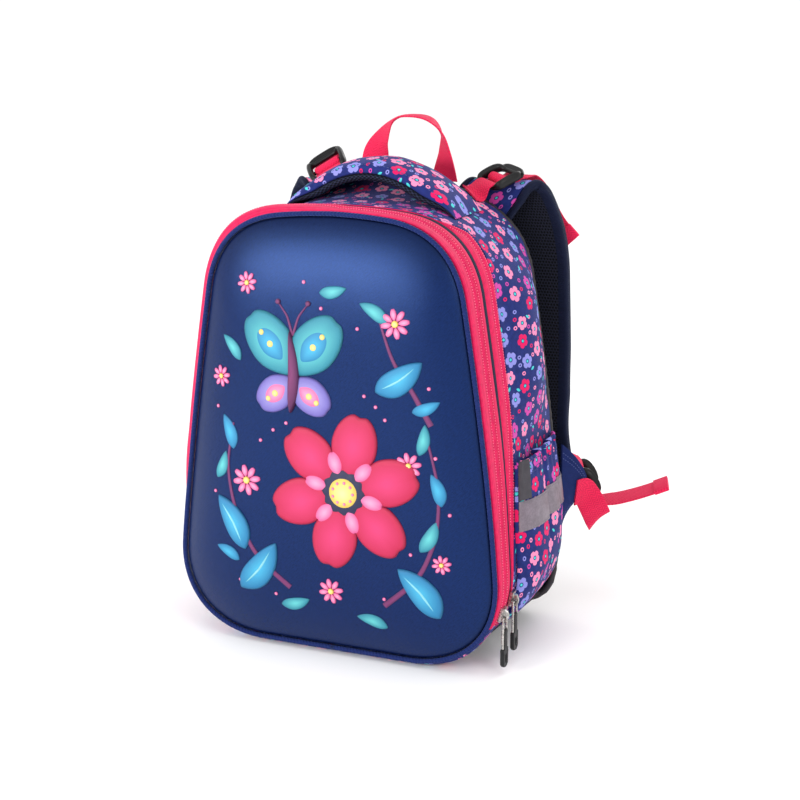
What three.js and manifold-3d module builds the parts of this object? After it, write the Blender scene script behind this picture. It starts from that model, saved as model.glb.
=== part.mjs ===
// Child's school backpack: a domed hard front panel on a floral body with two zips round it, side pockets,
// a padded grip on top and padded shoulder straps behind. Millimetres; X to the right seen from the front,
// Y from front to back, Z up, the base on the floor.
import * as THREE from "three";
import { mergeVertices } from "three/addons/utils/BufferGeometryUtils.js";
import ManifoldModule from "manifold-3d";

const wasm = await ManifoldModule();
wasm.setup();

// Body
const WIDTH = 290;
const HEIGHT = 372;
const FRONT = -80;
const BACK = 80;
const BASE_RISE = 4; // outline above the floor, which the base panel fills
const WALL = 2.4;
const BELLY = 14; // swell of the soft sides above the pockets
const GAP = 0.3;
const LOW_CORNER = 79;
const SHOULDER = { x: 116, z: 304 };
const CREST = { x: 48, drop: 2.7 };
const CROWN = 12; // rise of the top from the main zip to the back seam
const CROWN_FROM = -14;
const CROWN_HALF = 105;
const CROWN_AT = -8; // the soft top slumps a little to the left
const AROUND = 44; // steps round the whole outline

// Front panel and its edge
const PIPING_R = 3.2;
const PANEL_WALL = 3;
const PANEL_DOME = 17;
const PANEL_MID = 0.47; // height of the dome's middle, share of the panel
const RELIEF = 3;

// Zips
const ZIP_FRONT = { from: -77.4, to: -48.4, coil: -64, endZ: 42 };
const ZIP_MAIN = { from: -48, high: -14, low: -43.5, over: -38, bendTop: 225, bendLow: 58, endX: 99 };
const ZIP_LEAN = 9.5; // how far the front zip bulges past the piping on the left
const PANEL_TUCK = 1.7; // how far the panel's edge is drawn in there
const GUSSET_BELLY = 3.4;
const TAPE = 1.5;
const COIL = 1.2;

// Back panel
const BACK_PAD = 9;
const BACK_EDGE = 5;
const BACK_FLARE = 7; // the back's lower corners stand out past the sides

// Side pockets
const POCKET = { front: -33, back: 75, low: 32, high: 172, bulge: 13, cloth: 2, seat: 1.1 };
const PLEATS = [{ at: 0.4, depth: 0.5 }, { at: 0.68, depth: 0.42 }];
const BAND = { low: 113, high: 137 };
const LABEL = { from: 0.004, to: 0.11, low: 138, high: 169 };

// Grip on top
const GRIP = { half: 30, mid: 20, ridge: 411, sag: 0.006, end: 80, foot: 1, taper: 0.4 };
const GRIP_PAD = 8.2;
const GRIP_LINING = 3.5;
const GRIP_RIM = 16; // how far down the lining's front edge hangs

// Shoulder straps
const BIND = 3.4; // half-width of the edge binding
const LINING = 2;
const STRAP_STEPS = 24;
const SPLAY = { 1: { out: 0, down: 0 }, [-1]: { out: 9, down: 6 } }; // lean of each strap's upper part

// Webbing and buckles
const WEB = 25;
const WEB_THICK = 1.5;
const LOCK = { wide: 37, rail: 3.6, reach: 13, bar: 2, deep: 1.8, bow: 4.5 };

// Zip pulls
const PULL = { pin: 1, rail: 1.8, frame: 26, length: 43, wide: 10.4, thick: 3.4 };

const COLOUR = {
  navy: 0x374e8d,
  floral: 0x2d386f,
  pink: 0xee3c6f,
  webbing: 0xee4766,
  mesh: 0x15151c,
  binding: 0x1f2130,
  tab: 0x282e50,
  base: 0x3a3639,
  buckle: 0x1d1c20,
  metal: 0x77777c,
  rubber: 0x17171a,
  silver: 0x968f96,
  label: 0x8d8c90,
};

const clamp = (v) => Math.min(1, Math.max(0, v));
const smooth = (a, b, v) => {
  const t = clamp((v - a) / (b - a));
  return t * t * (3 - 2 * t);
};
const mix = (a, b, t) => a + (b - a) * t;
const vec = (x, y, z) => new THREE.Vector3(x, y, z);

// A closed body from points and triangles, turned to face outwards.
function body(points, faces) {
  let volume = 0;
  for (const [a, b, c] of faces) {
    volume += points[a].dot(points[b].clone().cross(points[c]));
  }
  const index = volume < 0 ? faces.map(([a, b, c]) => [a, c, b]) : faces;
  const geometry = new THREE.BufferGeometry();
  const flat = points.flatMap((p) => [p.x, p.y, p.z]);
  geometry.setAttribute("position", new THREE.Float32BufferAttribute(flat, 3));
  geometry.setIndex(index.flat());
  return geometry;
}

// A body through rings of points. A ring of one point is a tip; any other end gets a fan about its middle.
function loft(rings, closed = false) {
  const points = [];
  const faces = [];
  const starts = rings.map((ring) => {
    points.push(...ring);
    return points.length - ring.length;
  });
  const join = (i, j) => {
    const n = Math.max(rings[i].length, rings[j].length);
    for (let k = 0; k < n; k++) {
      const next = (k + 1) % n;
      const a = starts[i] + (rings[i].length > 1 ? k : 0);
      const b = starts[i] + (rings[i].length > 1 ? next : 0);
      const c = starts[j] + (rings[j].length > 1 ? next : 0);
      const d = starts[j] + (rings[j].length > 1 ? k : 0);
      if (a !== b) faces.push([a, b, c]);
      if (c !== d) faces.push([a, c, d]);
    }
  };
  for (let i = 0; i + 1 < rings.length; i++) join(i, i + 1);
  if (closed) {
    join(rings.length - 1, 0);
    return body(points, faces);
  }
  const cap = (i, flip) => {
    const ring = rings[i];
    if (ring.length === 1) return;
    if (ring.length === 4) {
      const q = [0, 1, 2, 3].map((k) => starts[i] + k);
      const quads = [[q[0], q[1], q[2]], [q[0], q[2], q[3]]];
      for (const [a, b, c] of quads) faces.push(flip ? [a, c, b] : [a, b, c]);
      return;
    }
    const middle = points.length;
    points.push(ring.reduce((sum, p) => sum.add(p), vec(0, 0, 0)).divideScalar(ring.length));
    ring.forEach((_, k) => {
      const a = starts[i] + k;
      const b = starts[i] + ((k + 1) % ring.length);
      faces.push(flip ? [b, a, middle] : [a, b, middle]);
    });
  };
  cap(0, true);
  cap(rings.length - 1, false);
  return body(points, faces);
}

// A sheet of some thickness over a grid: at(i, j, face) gives a point, face 0 inside and 1 outside.
function shell(across, along, at) {
  const rings = [];
  for (let j = 0; j <= along; j++) {
    const ring = [];
    for (let i = 0; i <= across; i++) ring.push(at(i / across, j / along, 1));
    for (let i = across; i >= 0; i--) ring.push(at(i / across, j / along, 0));
    rings.push(ring);
  }
  const points = rings.flat();
  const n = rings[0].length;
  const faces = [];
  for (let j = 0; j < along; j++) {
    for (let k = 0; k < n; k++) {
      const next = (k + 1) % n;
      const low = j * n;
      const high = low + n;
      faces.push([low + k, low + next, high + next], [low + k, high + next, high + k]);
    }
  }
  for (let i = 0; i < across; i++) {
    const far = n - 1 - i;
    const top = along * n;
    faces.push([i + 1, i, far], [i + 1, far, far - 1]);
    faces.push([top + i, top + i + 1, top + far], [top + i + 1, top + far - 1, top + far]);
  }
  return body(points, faces);
}

function toSolid(geometry) {
  const plain = geometry.clone();
  plain.deleteAttribute("normal");
  plain.deleteAttribute("uv");
  const merged = mergeVertices(plain, 1e-4);
  const mesh = new wasm.Mesh({
    numProp: 3,
    vertProperties: new Float32Array(merged.attributes.position.array),
    triVerts: new Uint32Array(merged.index.array),
  });
  return new wasm.Manifold(mesh);
}

function fromSolid(solid) {
  const mesh = solid.getMesh();
  const geometry = new THREE.BufferGeometry();
  geometry.setAttribute("position", new THREE.Float32BufferAttribute(mesh.vertProperties, 3));
  geometry.setIndex(Array.from(mesh.triVerts));
  return geometry;
}

const fuse = (geometries) => fromSolid(geometries.map(toSolid).reduce((a, b) => a.add(b)));

// The body's outline in the X-Z plane, right half from the middle of the base to the middle of the top.
const half = WIDTH / 2;
const outline = new THREE.Path();
outline.moveTo(0, BASE_RISE);
outline.lineTo(half - LOW_CORNER, BASE_RISE);
outline.bezierCurveTo(
  half - 0.38 * LOW_CORNER, BASE_RISE,
  half + 3, BASE_RISE + 0.38 * LOW_CORNER,
  half, BASE_RISE + LOW_CORNER,
);
outline.quadraticCurveTo(half - 6, BASE_RISE + 165, SHOULDER.x, BASE_RISE + SHOULDER.z);
outline.bezierCurveTo(
  SHOULDER.x - 6.5, BASE_RISE + SHOULDER.z + 39.5,
  CREST.x + 37.8, BASE_RISE + HEIGHT - 7,
  CREST.x, BASE_RISE + HEIGHT - CREST.drop,
);
outline.quadraticCurveTo(CREST.x / 2, BASE_RISE + HEIGHT, 0, BASE_RISE + HEIGHT);

// Point and outward direction at a share s of the way round, from the middle of the base up the right side.
function outlineAt(s) {
  const turn = s - Math.floor(s);
  const side = turn <= 0.5 ? 1 : -1;
  const t = side > 0 ? 2 * turn : 2 * (1 - turn);
  const p = outline.getPoint(t);
  const d = outline.getTangent(t);
  return { x: side * p.x, z: p.y, nx: side * d.y, nz: -d.x };
}

// Share of the way round where the right side reaches a height, or where the base reaches a half-width.
function turnWhere(reached) {
  let low = 0;
  let high = 0.5;
  for (let i = 0; i < 40; i++) {
    const middle = (low + high) / 2;
    if (reached(outlineAt(middle))) high = middle;
    else low = middle;
  }
  return high;
}
const turnAtHeight = (z) => turnWhere((p) => p.z >= z);
const turnAtHalfWidth = (x) => turnWhere((p) => p.x >= x || p.z > HEIGHT / 2);

const hump = (u) => (u * u < 1 ? (1 - u * u) ** 2 : 0);
const crown = (x, y) => CROWN * smooth(CROWN_FROM, BACK, y) * hump((x - CROWN_AT) / CROWN_HALF);

// A point on the wrapped body: round share, depth, and lift off the outline.
function wrap(s, y, lift = 0) {
  const o = outlineAt(s);
  const x = o.x + o.nx * lift;
  const raise = o.z > HEIGHT / 2 ? crown(x, y) : 0;
  return vec(x, y, o.z + o.nz * lift + raise);
}

// Height of the top at a place on it.
function topHeight(x, y) {
  const turn = turnWhere((p) => p.z > HEIGHT / 2 && p.x <= Math.abs(x));
  return wrap(x < 0 ? 1 - turn : turn, y).z;
}

// How far the lower back corners stand out from the outline.
const flare = (s) => BACK_FLARE * Math.exp(-(((outlineAt(s).z - 26) / 20) ** 2));

// A strip round the outline through a list of shares; section(s) lists [depth, lift] pairs.
function stripAt(stations, section, whole = false) {
  return loft(stations.map((s) => section(s).map(([y, lift]) => wrap(s, y, lift))), whole);
}
const evenly = (from, to, steps) => Array.from({ length: steps + 1 }, (_, i) => mix(from, to, i / steps));
const strip = (from, to, steps, section) => stripAt(evenly(from, to, steps), section);

// Rear edge of the main zip: far back at the shoulders, forward over the top and towards the base.
function mainEdge(s) {
  const { z, nz } = outlineAt(s);
  const side = mix(ZIP_MAIN.low, ZIP_MAIN.high, smooth(ZIP_MAIN.bendLow, ZIP_MAIN.bendTop, z));
  return mix(side, ZIP_MAIN.over, smooth(0.72, 0.97, nz));
}

// Share of the lean to the left: full up the left side, none over the top, at the base or on the right.
function leftward(s) {
  const { z, nx } = outlineAt(s);
  return Math.sqrt(Math.max(0, -nx)) * smooth(60, 170, z);
}

const panelEdge = (s, inset) => {
  const o = outlineAt(s);
  const by = inset + PANEL_TUCK * leftward(s);
  return { x: o.x - o.nx * by, z: o.z - o.nz * by };
};
const panelMid = BASE_RISE + HEIGHT * PANEL_MID;
const domeAt = (k) => PANEL_DOME * (1 - k ** 5);

// Depth of the front panel's face at a place on it.
function panelDepth(x, z) {
  const angle = Math.atan2(z - panelMid, x);
  let low = 0;
  let high = 1;
  const turned = (s) => {
    const e = panelEdge(s, 0);
    const a = Math.atan2(e.z - panelMid, e.x) + Math.PI / 2;
    return (a + 2 * Math.PI) % (2 * Math.PI);
  };
  const want = (angle + Math.PI / 2 + 2 * Math.PI) % (2 * Math.PI);
  for (let i = 0; i < 30; i++) {
    const middle = (low + high) / 2;
    if (turned(middle) >= want) high = middle;
    else low = middle;
  }
  const e = panelEdge(high, 2 * PIPING_R + 0.5);
  const k = Math.hypot(x, z - panelMid) / Math.hypot(e.x, e.z - panelMid);
  return FRONT - 1 - domeAt(Math.min(1, k));
}

// A low cushion raised from the front panel: a petal of a given length and width, leaning by an angle.
function cushion({ x, z, long, wide, lean, high = RELIEF }) {
  const c = Math.cos(lean);
  const s = Math.sin(lean);
  const place = (u, v, lift) => {
    const px = x + u * c - v * s;
    const pz = z + u * s + v * c;
    return vec(px, panelDepth(px, pz) - lift, pz);
  };
  const sides = 8;
  const rings = [[-1.2, 1.05], [high * 0.8, 0.8]].map(([lift, size]) => {
    const ring = [];
    for (let i = 0; i < sides; i++) {
      const a = (2 * Math.PI * i) / sides;
      ring.push(place(long * size * Math.cos(a), wide * size * Math.sin(a), lift));
    }
    return ring;
  });
  return loft([...rings, [place(0, 0, high)]]);
}

// Raised design on the panel: one large flower, a butterfly and a sprig.
const BLOOM = { x: 18, z: 150, petals: 6, reach: 40, long: 27, wide: 19 };
const WINGS = [
  { x: -46, z: 268, long: 30, wide: 19, lean: 2.3 },
  { x: -8, z: 268, long: 30, wide: 19, lean: 0.84 },
  { x: -42, z: 228, long: 20, wide: 14, lean: -2.5 },
  { x: -12, z: 228, long: 20, wide: 14, lean: -0.64 },
];
const LEAVES = [
  { x: -62, z: 74, long: 27, wide: 11, lean: 0.9 },
  { x: -86, z: 112, long: 24, wide: 10, lean: 2.1 },
  { x: 84, z: 72, long: 25, wide: 11, lean: 2.3 },
  { x: 66, z: 248, long: 22, wide: 10, lean: 0.6 },
];

function frontPanel() {
  const inset = 2 * PIPING_R + 0.5;
  const ring = (k, y) => {
    const points = [];
    for (let i = 0; i < AROUND; i++) {
      const e = panelEdge(i / AROUND, inset);
      points.push(vec(e.x * k, y, panelMid + (e.z - panelMid) * k));
    }
    return points;
  };
  const face = (k) => FRONT - 1 - domeAt(k);
  const rings = [[vec(0, face(0) + PANEL_WALL, panelMid)]];
  for (const k of [0.5, 0.85]) rings.push(ring(k, face(k) + PANEL_WALL));
  rings.push(ring(1, face(1) + PANEL_WALL));
  for (const k of [1, 0.93, 0.82, 0.62, 0.34]) rings.push(ring(k, face(k)));
  rings.push([vec(0, face(0), panelMid)]);
  const petals = [];
  for (let i = 0; i < BLOOM.petals; i++) {
    const lean = (2 * Math.PI * i) / BLOOM.petals + 0.3;
    petals.push({
      x: BLOOM.x + BLOOM.reach * Math.cos(lean),
      z: BLOOM.z + BLOOM.reach * Math.sin(lean),
      long: BLOOM.long,
      wide: BLOOM.wide,
      lean,
    });
  }
  const core = { x: BLOOM.x, z: BLOOM.z, long: 17, wide: 17, lean: 0, high: RELIEF + 1 };
  const raised = [...petals, core, ...WINGS, ...LEAVES].map(cushion);
  return fuse([loft(rings), ...raised]);
}

function frontPiping() {
  const sides = 6;
  return stripAt(evenly(0, 1, AROUND).slice(0, -1), (s) => {
    const section = [];
    const middle = -PIPING_R - PANEL_TUCK * leftward(s);
    for (let i = 0; i < sides; i++) {
      const a = (2 * Math.PI * i) / sides;
      section.push([FRONT - 1.2 + PIPING_R * Math.cos(a), middle + PIPING_R * Math.sin(a)]);
    }
    return section;
  }, true);
}

const frontZipTurn = turnAtHeight(ZIP_FRONT.endZ);
const mainZipTurn = turnAtHalfWidth(ZIP_MAIN.endX);
const wallTurn = turnAtHeight(25);
const wallStations = evenly(wallTurn, 1 - wallTurn, 42);

function zipFront() {
  const { from, to, coil } = ZIP_FRONT;
  return strip(frontZipTurn, 1 - frontZipTurn, 28, (s) => {
    const out = ZIP_LEAN * leftward(s);
    const root = -PANEL_TUCK * leftward(s);
    return [
      [from, root - TAPE],
      [coil - 3.5, out - TAPE],
      [to, out / 2 - TAPE],
      [to, out / 2],
      [coil + 3.5, out * 0.9],
      [coil + 2.4, out * 0.92 + COIL],
      [coil - 2.4, out + COIL],
      [coil - 3.5, out],
      [from, root],
    ];
  });
}

// Floral gusset under the front zip, bellied below the piping along the base.
function gussetLow() {
  const { from, to } = ZIP_FRONT;
  return strip(1 - frontZipTurn + 0.0004, 1 + frontZipTurn - 0.0004, 16, (s) => {
    const belly = GUSSET_BELLY * (1 - smooth(BASE_RISE, ZIP_FRONT.endZ, outlineAt(s).z));
    const low = [[to, 0], [mix(from, to, 0.7), belly], [mix(from, to, 0.25), belly], [from, 0]];
    return [[from, -WALL], [to, -WALL], ...low];
  });
}

// The coil lies near the rear edge; low down, where only the tape is left, it runs out.
function zipMain() {
  const { from } = ZIP_MAIN;
  const low = (mainZipTurn + wallTurn) / 2;
  const stations = [mainZipTurn, low, ...wallStations, 1 - low, 1 - mainZipTurn];
  return stripAt(stations, (s) => {
    const to = mainEdge(s) - 0.5;
    const room = to - from;
    const coil = Math.min(COIL, room / 10);
    const wide = Math.min(3.5, room * 0.25);
    const at = to - Math.min(9, room * 0.45);
    const out = 0.5 * ZIP_LEAN * leftward(s);
    const lift = (y) => (out * (to - y)) / room;
    return [
      [from, out - TAPE - 1.5],
      [to, -TAPE - 0.6],
      [to, 0],
      [at + wide, lift(at + wide)],
      [at + wide * 0.7, lift(at) + coil],
      [at - wide * 0.7, lift(at) + coil],
      [at - wide, lift(at - wide)],
      [from, out - 1.5],
    ];
  });
}

// Swell of the side wall at its middle depth: none at the pockets, none at the top.
const belly = (s) => {
  const z = outlineAt(s).z;
  return BELLY * smooth(165, 240, z) * (1 - smooth(290, 350, z));
};

function bodyWall() {
  return stripAt(wallStations, (s) => {
    const from = mainEdge(s);
    const to = BACK - 1.5;
    const out = [[from, 0], [mix(from, to, 0.5), belly(s)], [to, 0]];
    return [...out, ...out.map(([y, lift]) => [y, lift - WALL]).reverse()];
  });
}

function basePanel() {
  const to = BACK - 1.5;
  return strip(1 - wallTurn + 0.0004, 1 + wallTurn - 0.0004, 24, (s) => {
    const wide = Math.abs(outlineAt(s).x);
    const from = wide < ZIP_MAIN.endX - 16 ? ZIP_MAIN.from : ZIP_MAIN.low;
    const skirt = mix(BASE_RISE, 1.2, smooth(BASE_RISE, 25, outlineAt(s).z));
    return [[from, -WALL], [to, -WALL], [to, skirt + 0.4 * flare(s)], [from, skirt]];
  });
}

// Padded back: a raised cushion with a shallow channel down the middle and a swell low down.
const channel = (x) => 5 * Math.exp(-((x / 15) ** 2));
const swell = (z) => 4 * Math.exp(-(((z - 95) / 45) ** 2));
function backDepth(x, z, k) {
  const soft = 1 - k ** 6;
  return BACK - 1 + BACK_EDGE + soft * (BACK_PAD + swell(z) - channel(x));
}

// Depth of the back's face at a place on it.
function backFace(x, z) {
  const angle = Math.atan2(x, panelMid - z);
  const turn = turnWhere((p) => Math.atan2(p.x, panelMid - p.z) >= Math.abs(angle));
  const p = wrap(turn, BACK, flare(turn) - 0.6);
  return backDepth(x, z, Math.min(1, Math.hypot(x, z - panelMid) / Math.hypot(p.x, p.z - panelMid)));
}

function backPanel() {
  const ring = (k, depth) => {
    const points = [];
    for (let i = 0; i < AROUND; i++) {
      const p = wrap(i / AROUND, BACK, flare(i / AROUND) - 0.6);
      const x = p.x * k;
      const z = panelMid + (p.z - panelMid) * k;
      points.push(vec(x, depth(x, z, k), z));
    }
    return points;
  };
  const inner = () => BACK - 1;
  const rings = [[vec(0, inner(), panelMid)], ring(1, inner)];
  for (const k of [1, 0.93, 0.8, 0.55, 0.2]) rings.push(ring(k, backDepth));
  rings.push([vec(0, backDepth(0, panelMid, 0), panelMid)]);
  return loft(rings);
}

// Side pocket: gathered cloth standing off the wall, with two pleats; u from front to back, z height.
function pocketLift(u, z) {
  const v = (z - POCKET.low) / (POCKET.high - POCKET.low);
  const foot = clamp(v / mix(0.2, 0.4, u)) ** 0.6;
  const mouth = 1 - 0.42 * clamp((v - 0.55) / 0.45) ** 1.5;
  const edge = 1 - (2 * u - 1) ** 4;
  let lift = POCKET.bulge * foot * mouth * edge;
  for (const { at, depth } of PLEATS) lift *= 1 - depth * Math.exp(-(((u - at) / 0.04) ** 2));
  return lift;
}

function pocketPoint(side, u, z, off) {
  const y = mix(Math.max(POCKET.front, mainEdge(turnAtHeight(z)) + 1.5), POCKET.back, u);
  const turn = turnAtHeight(z);
  return wrap(side > 0 ? turn : 1 - turn, y, POCKET.seat + pocketLift(u, z) + off);
}

const POCKET_U = [0, 0.05, 0.16, 0.33, 0.4, 0.47, 0.61, 0.68, 0.75, 0.9, 1];
const columns = POCKET_U.length - 1;
const columnAt = (i) => POCKET_U[Math.round(i * columns)];
const POCKET_V = [0, 0.07, 0.2, 0.45, 0.72, 1];
const rows = POCKET_V.length - 1;
const rowAt = (j) => POCKET_V[Math.round(j * rows)];

function sidePocket(side) {
  return shell(columns, rows, (i, j, face) => {
    const z = mix(POCKET.low, POCKET.high, rowAt(j));
    return pocketPoint(side, columnAt(i), z, face * POCKET.cloth);
  });
}

function pocketBand(side) {
  return shell(columns, 1, (i, j, face) => {
    const z = mix(BAND.low, BAND.high, j);
    return pocketPoint(side, columnAt(i), z, POCKET.cloth + 0.5 + face);
  });
}

function pocketLabel() {
  return shell(3, 2, (i, j, face) => {
    const u = mix(LABEL.from, LABEL.to, i);
    return pocketPoint(1, u, mix(LABEL.low, LABEL.high, j), POCKET.cloth + 0.7 + face * 0.8);
  });
}

// Grip: a padded band arched over the top, with a dark lining under it.
function gripBand(profile) {
  const steps = 18;
  const rings = [];
  for (let i = 0; i <= steps; i++) {
    const x = GRIP.end * mix(-1, 1, i / steps);
    const foot = smooth(52, GRIP.end, Math.abs(x));
    const z = GRIP.ridge - GRIP.sag * x * x - GRIP.foot * foot;
    const slope = Math.atan(-2 * GRIP.sag * x);
    const full = mix(1, GRIP.taper, foot);
    rings.push(profile.map(([across, down]) => vec(
      x + full * down * Math.sin(slope),
      GRIP.mid + across * GRIP.half,
      z - full * down * Math.cos(slope),
    )));
  }
  return loft(rings);
}
const GRIP_TOP = [[-1, 8.6], [-0.93, 5.2], [-0.5, 1.1], [0, 0], [0.5, 1.1], [0.93, 5.2], [1, 8.6]];
const gripHandle = () => gripBand([...GRIP_TOP, [0.5, GRIP_PAD + 0.2], [-0.5, GRIP_PAD + 0.2]]);
const gripLining = () => gripBand([
  [-1, 8.9], [-0.5, GRIP_PAD + 0.5], [0.5, GRIP_PAD + 0.5], [1, 8.9],
  [1, 12.2], [0.5, GRIP_PAD + GRIP_LINING], [-0.5, GRIP_PAD + GRIP_LINING], [-0.98, GRIP_RIM],
]);

// A ribbon through rows of place and width direction, with a rectangular section.
function ribbon(table, steps, wide = WEB, thick = WEB_THICK) {
  const path = new THREE.CatmullRomCurve3(table.map((r) => r.at), false, "centripetal");
  const lean = new THREE.CatmullRomCurve3(table.map((r) => r.across), false, "centripetal");
  const rings = [];
  for (let i = 0; i <= steps; i++) {
    const t = i / steps;
    const p = path.getPoint(t);
    const along = path.getTangent(t);
    const across = lean.getPoint(t).normalize();
    across.addScaledVector(along, -across.dot(along)).normalize();
    const up = along.clone().cross(across).normalize();
    across.multiplyScalar(wide / 2);
    up.multiplyScalar(thick / 2);
    const corner = (a, b) => p.clone().addScaledVector(across, a).addScaledVector(up, b);
    rings.push([corner(-1, -1), corner(1, -1), corner(1, 1), corner(-1, 1)]);
  }
  return loft(rings);
}
const row = (at, across) => ({ at: vec(...at), across: vec(...across) });

// A right-hand piece, or its mirror image for the left side.
function handed(side, geometry) {
  if (side > 0) return geometry;
  const p = geometry.attributes.position;
  const points = [];
  for (let i = 0; i < p.count; i++) points.push(vec(-p.getX(i), p.getY(i), p.getZ(i)));
  const index = Array.from(geometry.index.array);
  const faces = [];
  for (let i = 0; i < index.length; i += 3) faces.push(index.slice(i, i + 3));
  return body(points, faces);
}

function hangLoop() {
  return ribbon([
    row([-34, 81.6, topHeight(-34, BACK) + 2], [0.98, 0, 0.19]),
    row([-33, 82, 404], [1, 0, 0.2]),
    row([-26, 82, 422], [0.8, -0.6, 0]),
    row([-13, 83, 438], [0.3, -0.95, 0]),
    row([3, 83, 441], [0.05, -1, 0]),
    row([18, 83, 438], [0.15, -1, 0]),
    row([29, 82, 427], [0.4, -0.9, 0]),
    row([33, 81, 410], [0.7, -0.7, 0]),
    row([33, 81.6, topHeight(33, BACK) + 1.9], [0.97, -0.06, -0.23]),
  ], 24);
}

// Shoulder strap, right side: middle of the strap, its width, its thickness, its width
// direction and its share of the lean.
const STRAP = [
  { at: [46, 0, 326], wide: 60, thick: 6, across: [1, 0, 0], lean: 0 },
  { at: [56, 0, 348], wide: 63, thick: 6, across: [1, 0, 0], lean: 0 },
  { at: [68, 95, 368], wide: 66, thick: 6, across: [1, 0, 0], lean: 0.3 },
  { at: [75, 99.5, 380.5], wide: 66, thick: 6, across: [1, 0, 0], lean: 0.7 },
  { at: [80, 106, 384], wide: 66, thick: 6, across: [1, 0, 0], lean: 1 },
  { at: [86, 112, 379], wide: 66, thick: 6, across: [1, 0, 0], lean: 1 },
  { at: [92, 116, 366], wide: 66, thick: 7, across: [1, 0, 0], lean: 1 },
  { at: [99, 118, 345], wide: 66, thick: 8, across: [1, 0, 0], lean: 0.8 },
  { at: [104, 119, 318], wide: 65, thick: 8, across: [1, 0, 0], lean: 0.5 },
  { at: [107, 119, 280], wide: 63, thick: 8, across: [1, 0, 0], lean: 0.25 },
  { at: [110, 119, 240], wide: 60, thick: 8, across: [1, 0, 0], lean: 0.1 },
  { at: [113, 119, 195], wide: 55, thick: 8, across: [1, 0, 0.05], lean: 0 },
  { at: [118, 119, 158], wide: 45, thick: 7, across: [0.97, 0, 0.2], lean: 0 },
  { at: [126, 119, 131], wide: 33, thick: 6, across: [0.86, 0, 0.5], lean: 0 },
];
// The root lies on the padded back.
for (const r of STRAP.slice(0, 2)) r.at[1] = backFace(r.at[0], r.at[2]) + r.thick / 2 + 2.2;

// Frame of a side's strap at a share t of its length; up is its outer face.
function strapFrame(side) {
  const { out, down } = SPLAY[side];
  const line = STRAP.map((r) => vec(r.at[0] + r.lean * out, r.at[1], r.at[2] - r.lean * down));
  const path = new THREE.CatmullRomCurve3(line, false, "centripetal");
  const lean = new THREE.CatmullRomCurve3(STRAP.map((r) => vec(...r.across)), false, "centripetal");
  return (t) => {
    const f = t * (STRAP.length - 1);
    const i = Math.min(STRAP.length - 2, Math.floor(f));
    const along = path.getTangent(t);
    const across = lean.getPoint(t).normalize();
    return {
      p: path.getPoint(t),
      along,
      across,
      up: across.clone().cross(along).normalize(),
      wide: mix(STRAP[i].wide, STRAP[i + 1].wide, f - i),
      thick: mix(STRAP[i].thick, STRAP[i + 1].thick, f - i),
    };
  };
}
const strapPoint = (f, a, u) => f.p.clone().addScaledVector(f.across, a).addScaledVector(f.up, u);

function strapBody(side, section) {
  const strapAt = strapFrame(side);
  const rings = [];
  for (let i = 0; i <= STRAP_STEPS; i++) {
    const f = strapAt(i / STRAP_STEPS);
    rings.push(section(f).map(([a, u]) => strapPoint(f, a, u)));
  }
  return loft(rings);
}

const shoulderStrap = (side) => strapBody(side, (f) => {
  const a = f.wide / 2 - 2 * BIND - 1.3;
  const h = f.thick / 2;
  return [[-a, -h], [a, -h], [a, h * 0.8], [a * 0.6, h], [-a * 0.6, h], [-a, h * 0.8]];
});
const strapLining = (side) => strapBody(side, (f) => {
  const a = f.wide / 2 - 2 * BIND - 2.5;
  const top = -f.thick / 2 - GAP;
  return [[-a, top - LINING], [a, top - LINING], [a, top], [-a, top]];
});

// Binding down one edge of the strap, across its lower end and up the other edge.
function strapBinding(side) {
  const strapAt = strapFrame(side);
  const steps = STRAP_STEPS;
  const rings = [];
  const section = (f, sign, across) => {
    const mid = sign * (f.wide / 2 - BIND);
    const low = -f.thick / 2 - LINING - 0.6;
    const high = f.thick / 2 + 0.6;
    const outer = [[0, high], [BIND, high - 2], [BIND, low + 2], [0, low]];
    const shape = [[-BIND, low + 2], [-BIND, high - 2], ...outer];
    return shape.map(([out, u]) => strapPoint(f, mid, u).addScaledVector(across, out));
  };
  for (let i = 0; i <= steps; i++) {
    const f = strapAt(i / steps);
    if (i === steps) f.p.addScaledVector(f.along, BIND + GAP);
    const out = f.across.clone();
    if (i === steps) out.add(f.along);
    rings.push(section(f, 1, out));
  }
  for (let i = steps; i >= 0; i--) {
    const f = strapAt(i / steps);
    if (i === steps) f.p.addScaledVector(f.along, BIND + GAP);
    const out = f.across.clone().negate();
    if (i === steps) out.add(f.along);
    rings.push(section(f, -1, out));
  }
  return loft(rings);
}

// Place in a buckle's own frame: along the webbing, up from its face, and across it.
function lockFrame(middle, alongHint, acrossHint) {
  const along = vec(...alongHint).normalize();
  const across = vec(...acrossHint);
  across.addScaledVector(along, -across.dot(along)).normalize();
  const up = across.clone().cross(along).normalize();
  return { middle: vec(...middle), along, across, up };
}
const lockPoint = (f, a, u, c = 0) => f.middle.clone()
  .addScaledVector(f.along, a).addScaledVector(f.up, u).addScaledVector(f.across, c);

const UPPER_LOCK = {
  1: lockFrame([79.6, 94.5, 388], [0.6, 0.7, 0.38], [0.78, -0.6, -0.13]),
  [-1]: lockFrame([86, 94.5, 393], [0.55, 0.72, 0.42], [0.8, -0.3, -0.52]),
};
const LOWER_LOCK = lockFrame([152.4, 137, 114], [0.5, 0.2, -0.85], [0.35, -0.93, 0]);

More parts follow.
